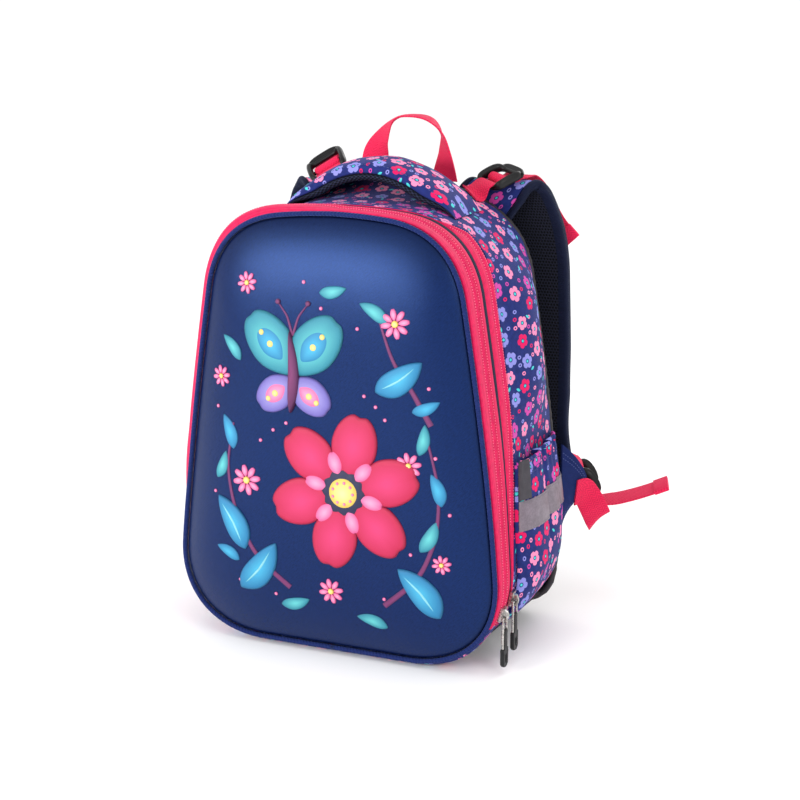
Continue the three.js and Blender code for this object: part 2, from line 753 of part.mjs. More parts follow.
// Three-bar adjuster: two curved side rails with a thick lip at one end, and three bars across.
function ladderLock(frame) {
  const { wide, rail, reach, bar, deep, bow } = LOCK;
  const profile = new THREE.Shape();
  profile.moveTo(-reach - 3.5, -deep);
  profile.lineTo(reach + 2.5, -deep);
  profile.quadraticCurveTo(reach + 5, -0.4, reach + 2, deep);
  profile.quadraticCurveTo(0, 2 * bow, -reach - 2, deep + 0.6);
  profile.quadraticCurveTo(-reach - 5.5, deep, -reach - 3.5, -deep);
  const parts = [];
  for (const start of [-wide / 2, wide / 2 - rail]) {
    const cheek = new THREE.ExtrudeGeometry(profile, {
      depth: rail,
      bevelEnabled: false,
      curveSegments: 3,
    });
    cheek.translate(0, 0, start);
    parts.push(cheek);
  }
  for (const at of [-reach, 0, reach]) {
    const cross = new THREE.BoxGeometry(2 * bar, 2 * deep - 0.4, wide - 1);
    cross.translate(at, 0, 0);
    parts.push(cross);
  }
  const lock = fuse(parts);
  const m = new THREE.Matrix4().makeBasis(frame.along, frame.up, frame.across).setPosition(frame.middle);
  return lock.applyMatrix4(m);
}

const through = (f, list) => list.map(([a, u]) => ({ at: lockPoint(f, a, u), across: f.across.clone() }));

// Short webbing from the top seam to the buckle's first bar.
function lifterAnchor(side, f) {
  return ribbon([
    row([61, 70, topHeight(side * 61, 70) + 2.8], [0.82, -0.3, -0.5]),
    row([63.5, 74.5, topHeight(side * 63.5, 74.5) + 2.8], [0.82, -0.36, -0.45]),
    ...through(f, [[-18, 3], [-13, 3.4], [-9.4, 1.6], [-8.6, -2.6]]),
  ], 18);
}

// Webbing over the buckle's middle bar, over the strap's crest and down to its loose end.
function lifterWebbing(f) {
  const hang = [
    row([94, 120, 388.5], [0.85, -0.35, 0.1]),
    row([100, 127, 379], [0.9, -0.2, 0.2]),
    row([108, 130, 361], [0.85, 0, 0.5]),
    row([119, 131, 343], [0.8, 0, 0.6]),
    row([132, 132, 329], [0.75, 0, 0.65]),
  ];
  return ribbon([
    ...through(f, [[-4.6, -3], [-3.6, 1.4], [0, 3.2], [3.6, 1.4], [5.6, -2.4], [10, -4.2], [15, -4]]),
    ...hang,
  ], 36);
}

// Short webbing from the strap's lower end to the lower buckle's first bar.
function strapLoop() {
  return ribbon([
    row([117, 125.6, 158], [-0.95, 0, -0.3]),
    row([120.5, 126.2, 151], [-0.95, -0.1, -0.3]),
    row([127, 131, 144], [-0.8, -0.45, -0.4]),
    row([134, 136.4, 139], [-0.3, -0.85, -0.35]),
    ...through(LOWER_LOCK, [[-20, 2.6], [-17, 3.4], [-13, 3.5], [-9.4, 1.6], [-8.6, -2.6]]),
  ], 24);
}

// Navy tab between the back seam and the lower webbing.
const TAB = [
  { at: [145.5, 81.8, 108], across: [0, 0, 1], wide: 65 },
  { at: [151, 90, 111], across: [0.15, 0.12, 0.95], wide: 46 },
  { at: [157, 101, 113], across: [0.35, 0.3, 0.88], wide: 27 },
];
function anchorTab() {
  return loft(TAB.map(({ at, across, wide }) => {
    const a = vec(...across).normalize().multiplyScalar(wide / 2);
    const n = vec(0.83, -0.52, 0);
    const corners = [[-1, -1], [1, -1], [1, 1], [-1, 1]];
    return corners.map(([i, j]) => vec(...at).addScaledVector(a, i).addScaledVector(n, j));
  }));
}

// Lower webbing: from the navy tab in a slack loop, over the buckle's middle bar and on to its loose end.
const TAIL = {
  1: [
    row([176, 142, 95], [0.2, -0.86, 0.46]),
    row([189, 146, 97], [0.14, -0.84, 0.53]),
    row([203, 151, 101], [0.14, -0.84, 0.53]),
    row([217, 155, 106.5], [0.14, -0.84, 0.53]),
  ],
  [-1]: [
    row([164, 144, 82], [0.35, -0.93, 0]),
    row([165, 145, 64], [0.35, -0.93, 0]),
    row([163, 146, 44], [0.35, -0.93, 0]),
    row([162, 146, 24], [0.35, -0.93, 0]),
  ],
};
function lowerWebbing(side) {
  return ribbon([
    row([155.7, 94.3, 112], [0.3, 0.25, 0.9]),
    row([160.2, 101.9, 112], [0.35, 0.3, 0.88]),
    row([163, 107, 106], [0.4, 0.3, 0.85]),
    row([168, 112, 93], [0.5, 0.2, 0.82]),
    row([170, 118, 83], [0.6, 0, 0.75]),
    row([166, 125, 81], [0.7, -0.3, 0.6]),
    row([159, 132, 90], [0.6, -0.7, 0.3]),
    ...through(LOWER_LOCK, [
      [10, -10.5], [2, -10], [-4, -8], [-6.4, -3], [-4.4, 1.4], [0, 3.2],
      [3.6, 1.4], [5.6, -2.4], [10, -4.4], [15, -4.6], [20, -4],
    ]),
    ...TAIL[side],
  ], 46);
}

// Zip slider on the tape with a bridge over the pull's pin; its own X points off the tape and Z up the zip.
function slider() {
  const plan = new THREE.Shape();
  plan.moveTo(-3, -6.5);
  plan.lineTo(3, -6.5);
  plan.lineTo(4.8, 1);
  plan.lineTo(4.2, 6.5);
  plan.lineTo(-4.2, 6.5);
  plan.lineTo(-4.8, 1);
  const plate = new THREE.ExtrudeGeometry(plan, { depth: 2.4, bevelEnabled: false });
  const arch = new THREE.Shape();
  arch.moveTo(-5.5, -0.5);
  arch.lineTo(-5.5, 2.6);
  arch.quadraticCurveTo(-5, 5.2, -1, 5.2);
  arch.quadraticCurveTo(4.5, 5, 5, -0.5);
  const hole = new THREE.Path();
  hole.moveTo(-3.6, 0.6);
  hole.lineTo(0.4, 0.6);
  hole.lineTo(0.4, 3.4);
  hole.lineTo(-3.6, 3.4);
  arch.holes.push(hole);
  const bridge = new THREE.ExtrudeGeometry(arch, { depth: 3, bevelEnabled: false, curveSegments: 3 });
  bridge.translate(0, 0, -1.5);
  // Plan lies across the zip and up it; the bridge stands on the plate.
  plate.applyMatrix4(new THREE.Matrix4().makeBasis(vec(0, 1, 0), vec(0, 0, 1), vec(1, 0, 0)));
  bridge.applyMatrix4(new THREE.Matrix4().makeBasis(vec(0, 0, 1), vec(1, 0, 0), vec(0, 1, 0)));
  bridge.translate(2.2, 0, 0);
  return fuse([plate, bridge]);
}
const PIN = { out: 4.2, up: -1.6 }; // the pin's middle in the slider's own frame

// Pull frame hanging from its pin, the pin along Y at the origin: a bar and two rails.
function pullFrame() {
  const { pin, rail, frame, wide } = PULL;
  const bar = new THREE.CylinderGeometry(pin, pin, wide, 8);
  const parts = [bar];
  for (const side of [-1, 1]) {
    const leg = new THREE.BoxGeometry(2 * pin, rail, frame + pin);
    leg.translate(0, side * (wide / 2 - rail / 2), -frame / 2 + pin / 2);
    parts.push(leg);
  }
  return fuse(parts);
}

// Rubber grip between the rails, widening below them, with an oval hole near its end.
function pullGrip() {
  const { rail, frame, wide, length, thick } = PULL;
  const inner = wide / 2 - rail - GAP;
  const outer = wide / 2 + 0.6;
  const low = -frame - GAP;
  const shape = new THREE.Shape();
  shape.moveTo(-inner, -10);
  shape.lineTo(-inner, low);
  shape.lineTo(-outer, low);
  shape.lineTo(-outer, -length + 5);
  shape.quadraticCurveTo(-outer, -length, 0, -length);
  shape.quadraticCurveTo(outer, -length, outer, -length + 5);
  shape.lineTo(outer, low);
  shape.lineTo(inner, low);
  shape.lineTo(inner, -10);
  const eye = new THREE.Path();
  eye.absellipse(0, -length + 8, 1.8, 4, 0, 2 * Math.PI, true);
  shape.holes.push(eye);
  const grip = new THREE.ExtrudeGeometry(shape, { depth: thick, bevelEnabled: false, curveSegments: 4 });
  grip.translate(0, 0, -thick / 2);
  grip.applyMatrix4(new THREE.Matrix4().makeBasis(vec(0, 1, 0), vec(0, 0, 1), vec(1, 0, 0)));
  return fuse([grip]);
}

// Where each slider sits on the right side, and its frame: out of the tape, across it and up the zip.
const SLIDERS = { front: { y: ZIP_FRONT.coil, z: 52, seat: 0.6 }, main: { y: -46, z: 60, seat: 0.45 } };
function sliderMatrix({ y, z, seat }) {
  const turn = turnAtHeight(z);
  const o = outlineAt(turn);
  const out = vec(o.nx, 0, o.nz);
  const up = vec(-o.nz, 0, o.nx);
  const across = up.clone().cross(out);
  const foot = wrap(turn, y, seat);
  return new THREE.Matrix4().makeBasis(out, across, up).setPosition(foot);
}
const pinPlace = (place) => vec(PIN.out, 0, PIN.up).applyMatrix4(sliderMatrix(place));

const part = new THREE.Group();
part.name = "school_backpack";
function add(name, geometry, colour, roughness = 0.8, metalness = 0) {
  const material = new THREE.MeshStandardMaterial({ color: colour, roughness, metalness });
  const mesh = new THREE.Mesh(geometry, material);
  mesh.name = name;
  part.add(mesh);
}

add("front_panel", frontPanel(), COLOUR.navy, 0.5);
add("front_piping", frontPiping(), COLOUR.navy, 0.6);
add("zip_front", zipFront(), COLOUR.pink);
add("gusset_low", gussetLow(), COLOUR.floral);
add("zip_main", zipMain(), COLOUR.pink);
add("body_wall", bodyWall(), COLOUR.floral);
add("base_panel", basePanel(), COLOUR.base);
add("back_panel", backPanel(), COLOUR.mesh, 0.95);
add("grip_handle", gripHandle(), COLOUR.floral);
add("grip_lining", gripLining(), COLOUR.mesh, 0.95);
add("hang_loop", hangLoop(), COLOUR.webbing);
for (const [label, side] of [["right", 1], ["left", -1]]) {
  const upper = UPPER_LOCK[side];
  add(`shoulder_strap_${label}`, handed(side, shoulderStrap(side)), COLOUR.floral);
  add(`strap_lining_${label}`, handed(side, strapLining(side)), COLOUR.mesh, 0.95);
  add(`strap_binding_${label}`, handed(side, strapBinding(side)), COLOUR.binding);
  add(`lifter_anchor_${label}`, handed(side, lifterAnchor(side, upper)), COLOUR.webbing);
  add(`lifter_buckle_${label}`, handed(side, ladderLock(upper)), COLOUR.buckle, 0.4);
  add(`lifter_webbing_${label}`, handed(side, lifterWebbing(upper)), COLOUR.webbing);
  add(`strap_loop_${label}`, handed(side, strapLoop()), COLOUR.webbing);
  add(`lower_buckle_${label}`, handed(side, ladderLock(LOWER_LOCK)), COLOUR.buckle, 0.4);
  add(`lower_webbing_${label}`, handed(side, lowerWebbing(side)), COLOUR.webbing);
  add(`anchor_tab_${label}`, handed(side, anchorTab()), COLOUR.tab);
  add(`side_pocket_${label}`, sidePocket(side), COLOUR.floral);
  add(`pocket_band_${label}`, pocketBand(side), COLOUR.silver, 0.35);
}
add("pocket_label", pocketLabel(), COLOUR.label);
for (const [label, place] of Object.entries(SLIDERS)) {
  const pin = pinPlace(place);
  add(`slider_${label}`, slider().applyMatrix4(sliderMatrix(place)), COLOUR.metal, 0.3, 1);
  add(`pull_frame_${label}`, pullFrame().translate(pin.x, pin.y, pin.z), COLOUR.metal, 0.3, 1);
  add(`pull_grip_${label}`, pullGrip().translate(pin.x, pin.y, pin.z), COLOUR.rubber, 0.7);
}

export default part;
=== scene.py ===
"""Looks for a child's school backpack: cloth, webbing, zips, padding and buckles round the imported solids."""
import math
from math import cos, pi, sin

import bpy
import numpy as np
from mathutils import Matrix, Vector


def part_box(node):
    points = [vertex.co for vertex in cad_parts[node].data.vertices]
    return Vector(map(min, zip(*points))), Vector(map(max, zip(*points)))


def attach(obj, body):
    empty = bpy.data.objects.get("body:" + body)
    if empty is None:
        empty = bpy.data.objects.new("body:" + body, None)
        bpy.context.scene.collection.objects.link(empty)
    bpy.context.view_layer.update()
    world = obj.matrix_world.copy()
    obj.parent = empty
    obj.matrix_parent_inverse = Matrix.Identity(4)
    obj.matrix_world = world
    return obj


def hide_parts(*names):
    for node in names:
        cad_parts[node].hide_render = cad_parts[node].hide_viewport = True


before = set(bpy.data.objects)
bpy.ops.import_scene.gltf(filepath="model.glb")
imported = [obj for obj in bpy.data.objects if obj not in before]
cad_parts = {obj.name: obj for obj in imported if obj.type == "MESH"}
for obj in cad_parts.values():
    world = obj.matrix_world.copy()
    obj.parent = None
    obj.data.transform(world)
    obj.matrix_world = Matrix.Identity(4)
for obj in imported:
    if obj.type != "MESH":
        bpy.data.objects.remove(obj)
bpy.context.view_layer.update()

MM = 0.001
PACK = "pack"

# Sizes in millimetres; most are the solids' own, and a few were fitted to the photo afterwards
WIDTH, HEIGHT, FRONT, BACK = 290, 372, -80, 80
BASE_RISE, WALL, WALL_FOOT, BELLY, LOW_CORNER = 4, 2.4, 25, 14, 79
SHOULDER, CREST, CREST_DROP = (116, 304), 48, 2.7
CROWN, CROWN_FROM, CROWN_AT, CROWN_HALF = 12, -14, -8, 105
PIPING_R, PANEL_DOME, PANEL_MID = 2, 17, 0.47
ZIP_FRONT = {"from": -77.4, "to": -48.4, "coil": -64, "coil_top": -59.5, "end_z": 42}
ZIP_MAIN = {"from": -48, "high": -14, "low": -43.5, "over": -38, "bend_top": 225, "bend_low": 58, "end_x": 99}
ZIP_BEND = (80, 210)  # heights between which the zips move back
ZIP_SEAM = (-48.2, -40.5)  # depth of the line between the zips, below and above that
ZIP_LEAN, PANEL_TUCK = 9.5, 1.7
BACK_PAD, BACK_EDGE, BACK_FLARE, BACK_SEAMS = 9, 5, 11, (150, 235)
POCKET = {"front": -33, "back": 75, "low": 32, "high": 172, "mouth": 167, "bulge": 13, "cloth": 2,
          "seat": 1.1}
PLEATS = ((0.4, 0.875), (0.68, 0.735))  # share of the width, depth
BAND = (113, 137)  # heights of the reflective band
GRIP_DEEP = 11.7  # from the grip's ridge to its underside
GRIP = {"half": 30, "mid": 20, "ridge": 411, "sag": 0.006, "end": 80, "foot": 1, "taper": 0.4}
WEB, WEB_THICK = 25, 1.5
SHARP = 50  # degrees between faces that are not shaded as one
BIND, LINING = 3.4, 2


def srgb(*rgb):
    """Linear colour of an 8-bit one."""
    return tuple(((v / 255 + 0.055) / 1.055) ** 2.4 for v in rgb) + (1.0,)


NAVY, PINK, CRIMSON = srgb(34, 52, 108), srgb(214, 27, 82), srgb(220, 22, 90)
FLORAL_GROUND, LIGHT_PINK, LILAC = srgb(30, 42, 104), srgb(246, 140, 180), srgb(138, 140, 214)
MAGENTA, TEAL = srgb(205, 70, 160), srgb(70, 205, 205)


def smooth(a, b, v):
    """Eased step, from 0 at a to 1 at b."""
    t = np.clip((np.asarray(v, float) - a) / (b - a), 0, 1)
    return t * t * (3 - 2 * t)


def mix(a, b, t):
    """The value a share t of the way from a to b."""
    return a + (b - a) * t


def hump(v, middle, half):
    """Bell curve, 1 at its middle."""
    return np.exp(-(((v - middle) / half) ** 2))


def circle(n):
    """Angles of n points round a circle."""
    return np.linspace(0, 2 * pi, n + 1)[:-1]


def shares(n):
    """Shares of the way round, for n points."""
    return np.linspace(0, 1, n + 1)[:-1]


def new_object(name, data):
    """A new object in the scene."""
    made = bpy.data.objects.new(name, data)
    bpy.context.scene.collection.objects.link(made)
    return made


def dimmed(colour, share):
    """A darker or lighter shade of a colour."""
    return tuple(min(1.0, c * share) for c in colour[:3]) + (1.0,)


# Node trees


class Tree:
    """Short calls for building a node tree."""

    def __init__(self, tree):
        self.tree = tree

    def node(self, kind, **settings):
        made = self.tree.nodes.new(kind)
        for key, value in settings.items():
            setattr(made, key, value)
        return made

    def put(self, socket, value):
        if isinstance(value, bpy.types.NodeSocket):
            self.tree.links.new(value, socket)
        else:
            socket.default_value = value

    def math(self, operation, a, b=0.0, c=0.0):
        made = self.node("ShaderNodeMath", operation=operation)
        for socket, value in zip(made.inputs, (a, b, c)):
            self.put(socket, value)
        return made.outputs[0]

    def mul(self, a, b):
        return self.math("MULTIPLY", a, b)

    def add(self, a, b):
        return self.math("ADD", a, b)

    def sub(self, a, b):
        return self.math("SUBTRACT", a, b)

    def below(self, a, b):
        """1 where a is less than b, else 0."""
        return self.math("LESS_THAN", a, b)

    def scaled(self, vector, across, down):
        """Coordinates stretched by a factor each way."""
        u, v, _ = self.parts(vector)
        return self.vector(self.mul(u, across), self.mul(v, down))

    def span(self, x, y):
        """Distance from the middle."""
        return self.math("SQRT", self.add(self.mul(x, x), self.mul(y, y)))

    def blend(self, factor, a, b):
        made = self.node("ShaderNodeMix", data_type="RGBA")
        for index, value in ((0, factor), (6, a), (7, b)):
            self.put(made.inputs[index], value)
        return made.outputs[2]

    def parts(self, vector):
        made = self.node("ShaderNodeSeparateXYZ")
        self.put(made.inputs[0], vector)
        return made.outputs[:3]

    def vector(self, x, y, z=0.0):
        made = self.node("ShaderNodeCombineXYZ")
        for socket, value in zip(made.inputs, (x, y, z)):
            self.put(socket, value)
        return made.outputs[0]

    def noise(self, vector, scale, detail=2.0, rough=0.5):
        made = self.node("ShaderNodeTexNoise")
        self.put(made.inputs["Vector"], vector)
        for key, value in (("Scale", scale), ("Detail", detail), ("Roughness", rough)):
            made.inputs[key].default_value = value
        return made.outputs["Fac"]

    def ramp(self, factor, stops, constant=False):
        made = self.node("ShaderNodeValToRGB")
        line = made.color_ramp
        line.interpolation = "CONSTANT" if constant else "LINEAR"
        while len(line.elements) < len(stops):
            line.elements.new(0.5)
        for element, (at, colour) in zip(line.elements, stops):
            element.position = at
            element.color = colour
        self.put(made.inputs[0], factor)
        return made.outputs[0]

    def wave(self, value, pitch):
        return self.math("SINE", self.mul(value, 2 * pi / pitch))


def make_cells():
    """Node group: a staggered grid of cells with a jittered middle and three random numbers each."""
    group = bpy.data.node_groups.new("cells", "ShaderNodeTree")
    sockets = {"INPUT": ("Vector", "Size", "Seed", "Jitter"), "OUTPUT": ("X", "Y", "Middle", "A", "B", "C")}
    for way, names in sockets.items():
        for name in names:
            kind = "NodeSocketVector" if name in ("Vector", "Middle") else "NodeSocketFloat"
            group.interface.new_socket(name, in_out=way, socket_type=kind)
    t = Tree(group)
    inside = t.node("NodeGroupInput").outputs
    out = t.node("NodeGroupOutput").inputs
    x, y, _ = t.parts(inside["Vector"])
    size = inside["Size"]
    down = t.math("DIVIDE", y, size)
    row = t.math("FLOOR", down)
    shift = t.math("FRACT", t.mul(row, 0.5))
    across = t.add(t.math("DIVIDE", x, size), shift)
    column = t.math("FLOOR", across)
    randoms = []
    for extra in (0.0, 17.3):
        white = t.node("ShaderNodeTexWhiteNoise", noise_dimensions="3D")
        t.put(white.inputs["Vector"], t.vector(column, row, t.add(inside["Seed"], extra)))
        randoms.append(t.parts(white.outputs["Color"]))
    middles = []
    for start, random in ((column, randoms[0][0]), (row, randoms[0][1])):
        swing = t.mul(t.sub(random, 0.5), inside["Jitter"])
        middles.append(t.add(t.add(start, 0.5), swing))
    t.put(out["X"], t.mul(t.sub(across, middles[0]), size))
    t.put(out["Y"], t.mul(t.sub(down, middles[1]), size))
    t.put(out["Middle"], t.scaled(t.vector(t.sub(middles[0], shift), middles[1]), size, size))
    for name, value in zip("ABC", randoms[1]):
        t.put(out[name], value)
    return group


CELLS = make_cells()


def cells(t, vector, size, seed, jitter):
    """Outputs of the cell group at a place."""
    made = t.node("ShaderNodeGroup", node_tree=CELLS)
    for key, value in (("Vector", vector), ("Size", size), ("Seed", seed), ("Jitter", jitter)):
        t.put(made.inputs[key], value)
    return made.outputs


def material(name, paint, uv=True, **fixed):
    """paint(tree, coordinates) returns colour, roughness, bump height, its strength and its depth in metres;
    fixed values go on the shader."""
    made = bpy.data.materials.new(name)
    made.use_nodes = True
    t = Tree(made.node_tree)
    shader = made.node_tree.nodes["Principled BSDF"]
    if uv:
        place = t.node("ShaderNodeUVMap", uv_map="print").outputs[0]
    else:
        place = t.node("ShaderNodeTexCoord").outputs["Object"]
    colour, rough, height, strength, deep = paint(t, place)
    bump = t.node("ShaderNodeBump")
    for key, value in (("Strength", strength), ("Distance", deep), ("Height", height)):
        t.put(bump.inputs[key], value)
    for key, value in (("Base Color", colour), ("Roughness", rough), ("Normal", bump.outputs[0])):
        t.put(shader.inputs[key], value)
    for key, value in fixed.items():
        shader.inputs[key.replace("_", " ")].default_value = value
    made.diffuse_color = NAVY
    return made


def shade(t, place, colour, scale=180, low=0.86, high=1.12):
    """A colour with a little cloudy variation."""
    return t.ramp(t.noise(place, scale, 3.0), ((0.3, dimmed(colour, low)), (0.7, dimmed(colour, high))))


def twill(t, place, pitch):
    """Slanting ribs."""
    u, v, _ = t.parts(place)
    return t.wave(t.add(u, v), pitch)


def plain_weave(t, place, pitch):
    """A grid of crossing threads."""
    u, v, _ = t.parts(place)
    return t.mul(t.wave(u, pitch), t.wave(v, pitch))


FLOWER_GRID = (0.0192, 3.0, 0.42)  # size, seed and jitter of its cells


def flower_print(t, place):
    """Scattered five-petalled flowers, small rings and leaves on navy twill."""
    flower = cells(t, place, *FLOWER_GRID)
    big = t.math("MULTIPLY_ADD", flower["C"], 0.0012, 0.0057)
    r = t.span(flower["X"], flower["Y"])
    angle = t.add(t.math("ARCTAN2", flower["Y"], flower["X"]), t.mul(flower["A"], 6.28))
    fold = t.sub(t.math("FLOORED_MODULO", angle, 2 * pi / 5), pi / 5)
    px = t.sub(t.mul(r, t.math("COSINE", fold)), t.mul(big, 0.64))
    py = t.math("ABSOLUTE", t.mul(r, t.math("SINE", fold)))
    lobe = t.span(px, t.sub(py, t.mul(big, 0.07)))
    petals = t.below(lobe, t.mul(big, 0.345))
    disc = t.below(r, t.mul(big, 0.42))
    petals = t.math("MAXIMUM", petals, disc)
    eye = t.below(r, t.mul(big, 0.31))
    dot = t.below(r, t.mul(big, 0.19))
    hues = ((0.0, LIGHT_PINK), (0.36, LILAC), (0.6, CRIMSON), (0.8, MAGENTA))
    ground = shade(t, place, FLORAL_GROUND, 260, 0.8, 1.2)

    def clear(middle, room):
        """1 where a cell's middle is far enough from the nearest flower, else 0."""
        near = cells(t, middle, *FLOWER_GRID)
        return t.math("GREATER_THAN", t.span(near["X"], near["Y"]), room)

    ring = cells(t, place, 0.0078, 11.0, 0.45)
    tall = t.span(t.mul(ring["X"], 1.22), ring["Y"])
    band = t.mul(t.below(tall, 0.00205), t.math("GREATER_THAN", tall, 0.00095))
    shown = t.mul(t.below(ring["A"], 0.8), clear(ring["Middle"], 0.0088))
    band = t.mul(band, shown)
    ring_hue = t.ramp(ring["B"], ((0.0, LIGHT_PINK), (0.34, LILAC), (0.6, CRIMSON), (0.8, MAGENTA)), True)
    leaf = cells(t, place, 0.0112, 29.0, 0.6)
    turn = t.mul(leaf["A"], 6.28)
    c, s = t.math("COSINE", turn), t.math("SINE", turn)
    lx = t.sub(t.mul(leaf["X"], c), t.mul(leaf["Y"], s))
    ly = t.add(t.mul(leaf["X"], s), t.mul(leaf["Y"], c))
    blade = t.below(t.span(lx, t.add(t.math("ABSOLUTE", ly), 0.0022)), 0.0033)
    shown = t.mul(t.below(leaf["B"], 0.42), clear(leaf["Middle"], 0.0082))
    blade = t.mul(blade, shown)
    colour = t.blend(band, ground, ring_hue)
    colour = t.blend(blade, colour, TEAL)
    colour = t.blend(petals, colour, t.ramp(flower["B"], hues, True))
    colour = t.blend(eye, colour, FLORAL_GROUND)
    colour = t.blend(dot, colour, TEAL)
    height = t.add(twill(t, place, 0.0014), t.mul(t.noise(place, 900, 2.0), 1.4))
    return colour, 0.72, height, 0.35, 0.00025


def woven(colour, pitch=0.0012, strength=0.4, rough=0.75):
    def paint(t, place):
        height = t.add(twill(t, place, pitch), t.mul(t.noise(place, 800), 1.2))
        return shade(t, place, colour), rough, height, strength, 0.0003
    return paint


def chevron(colour, pitch=0.0026):
    """Herringbone webbing: ribs that turn at each eighth of the width."""
    def paint(t, place):
        u, v, _ = t.parts(place)
        zig = t.math("PINGPONG", u, 0.0031)
        rib = t.wave(t.add(v, zig), pitch)
        tint = t.math("MULTIPLY_ADD", rib, 0.22, 0.5)
        colours = t.ramp(t.add(tint, t.mul(t.noise(place, 300), 0.3)),
                         ((0.35, dimmed(colour, 0.74)), (0.85, colour)))
        return colours, 0.68, rib, 0.5, 0.0004
    return paint


def zip_cloth(t, place):
    u, v, _ = t.parts(place)
    rib = t.wave(t.add(v, t.math("PINGPONG", u, 0.001)), 0.0024)
    line = t.wave(v, 0.0036)
    height = t.add(rib, t.mul(line, 0.4))
    return shade(t, place, PINK, 240, 0.84, 1.1), 0.62, height, 0.35, 0.0003


def air_mesh(t, place):
    """Spacer mesh: staggered round holes in a black knit."""
    hole = cells(t, place, 0.0027, 5.0, 0.0)
    r = t.span(hole["X"], hole["Y"])
    colour = t.ramp(t.math("DIVIDE", r, 0.0016), ((0.35, srgb(6, 6, 9)), (0.8, srgb(31, 33, 46))))
    return colour, 0.85, t.math("MINIMUM", r, 0.0013), 0.9, 0.5


def knit_rim(t, place):
    u, v, _ = t.parts(place)
    rib = t.mul(t.wave(u, 0.0046), t.wave(v, 0.0034))
    colour = t.ramp(t.math("MULTIPLY_ADD", rib, 0.5, 0.5), ((0.2, srgb(6, 7, 12)), (0.95, srgb(52, 58, 84))))
    return colour, 0.88, rib, 0.8, 0.0008


def panel_face(t, place):
    """Fine satin weave over moulded foam, with painted shade where it turns in at the rim and under the top
    edge.
    """
    u, v, _ = t.parts(place)
    thread = t.add(t.noise(t.scaled(place, 3400, 900), 1.0), t.noise(t.scaled(place, 900, 3400), 1.0))
    slub = t.noise(t.vector(t.add(t.mul(u, 260), t.mul(v, 180)),
                            t.mul(t.sub(v, u), 620)), 1.0, 3.0, 0.6)
    thread = t.math("MULTIPLY_ADD", slub, 1.2, thread)
    weave = t.ramp(t.mul(thread, 0.3125), ((0.4, srgb(4, 15, 48)), (0.6, srgb(11, 30, 76))))
    # painted shade: the "rim" attribute blends the weave towards srgb(6, 12, 36)
    rim = t.node("ShaderNodeAttribute", attribute_name="rim").outputs["Fac"]
    colour = t.blend(rim, weave, srgb(6, 12, 36))
    return colour, 0.26, thread, 0.2, 0.0004


def coated(t, place):
    height = t.add(plain_weave(t, place, 0.0016), t.noise(place, 500))
    return shade(t, place, srgb(52, 49, 53)), 0.6, height, 0.5, 0.0003


def reflective(t, place):
    bead = cells(t, place, 0.0011, 9.0, 0.2)
    tint = t.math("MULTIPLY_ADD", bead["A"], 0.25, t.noise(place, 90, 3.0))
    colour = t.ramp(tint, ((0.35, srgb(104, 94, 104)), (0.85, srgb(130, 119, 130))))
    return colour, 0.42, t.noise(place, 1400), 0.15, 0.0002


def moulded(colour, grain, rough):
    def paint(t, place):
        grit = t.noise(place, grain, 3.0)
        rough_map = t.math("MULTIPLY_ADD", t.noise(place, 140, 2.0), 0.18, rough - 0.09)
        return shade(t, place, colour, 120, 0.8, 1.25), rough_map, grit, 0.12, 0.0003
    return paint


def nickel(t, place):
    worn = t.noise(place, 420, 4.0)
    colour = t.ramp(worn, ((0.3, srgb(150, 146, 142)), (0.7, srgb(205, 202, 198))))
    return colour, t.math("MULTIPLY_ADD", worn, 0.2, 0.18), worn, 0.1, 0.0002


def inked(inner, outer):
    """Printed relief: colour runs from the middle of a motif to its rim."""
    def paint(t, place):
        _, v, _ = t.parts(place)
        cloud = t.mul(t.sub(t.noise(place, 300), 0.5), 0.25)
        colour = t.ramp(t.add(v, cloud), ((0.1, inner), (0.9, outer), (1.0, dimmed(outer, 0.62))))
        return colour, 0.6, t.noise(place, 1200), 0.1, 0.0002
    return paint


def tinted(r, g, b, sheen=0.2, level=0.3):
    """Fixed shader values of dyed cloth: its gloss and fuzz take the colour of the dye."""
    return {"Specular_IOR_Level": level, "Specular_Tint": (r, g, b, 1), "Sheen_Weight": sheen,
            "Sheen_Roughness": 0.4, "Sheen_Tint": (r, g, b, 1)}


FLORAL = material("floral_cloth", flower_print, **tinted(0.45, 0.45, 1, 0.1))
PIPING = material("piping_cloth", woven(srgb(27, 38, 88), 0.003, 0.9), **tinted(0.3, 0.45, 1))
TAB_CLOTH = material("tab_cloth", woven(srgb(26, 36, 84)), **tinted(0.25, 0.4, 1))
BINDING = material("binding_tape", woven(srgb(15, 19, 40), 0.0016, 0.6), **tinted(0.5, 0.6, 1, 0.05))
PINK_TAPE = material("zip_tape", zip_cloth, **tinted(1, 0.2, 0.4))
PINK_COIL = material("zip_coil", woven(srgb(216, 36, 90), 0.0016, 0.2, 0.5), **tinted(1, 0.3, 0.5, 0))
PINK_WEB = material("webbing", chevron(srgb(232, 42, 84)), **tinted(1, 0.2, 0.35))
MESH = material("air_mesh", air_mesh, Specular_IOR_Level=0.1)
KNIT = material("knit_rim", knit_rim, Specular_IOR_Level=0.15)
PANEL = material("panel_face", panel_face, **tinted(0.2, 0.38, 1, 0, 0.58))
COATED = material("base_cloth", coated, Specular_IOR_Level=0.25)
SILVER = material("reflective_tape", reflective, Metallic=0.25)
LABEL = material("label_cloth", woven(srgb(72, 70, 76)), Specular_IOR_Level=0.2)
PLASTIC = material("buckle_plastic", moulded(srgb(12, 12, 14), 1500, 0.36), uv=False, Specular_IOR_Level=0.3)
RUBBER = material("pull_rubber", moulded(srgb(20, 20, 22), 900, 0.5), uv=False, Specular_IOR_Level=0.3)
METAL = material("nickel", nickel, uv=False, Metallic=1.0)
THREAD = {name: material(f"thread_{name}", woven(srgb(*colour), 0.0008, 0.3)) for name, colour in (
    ("pink", (250, 128, 158)), ("navy", (58, 70, 128)), ("grey", (120, 114, 122)),
)}


# Meshes


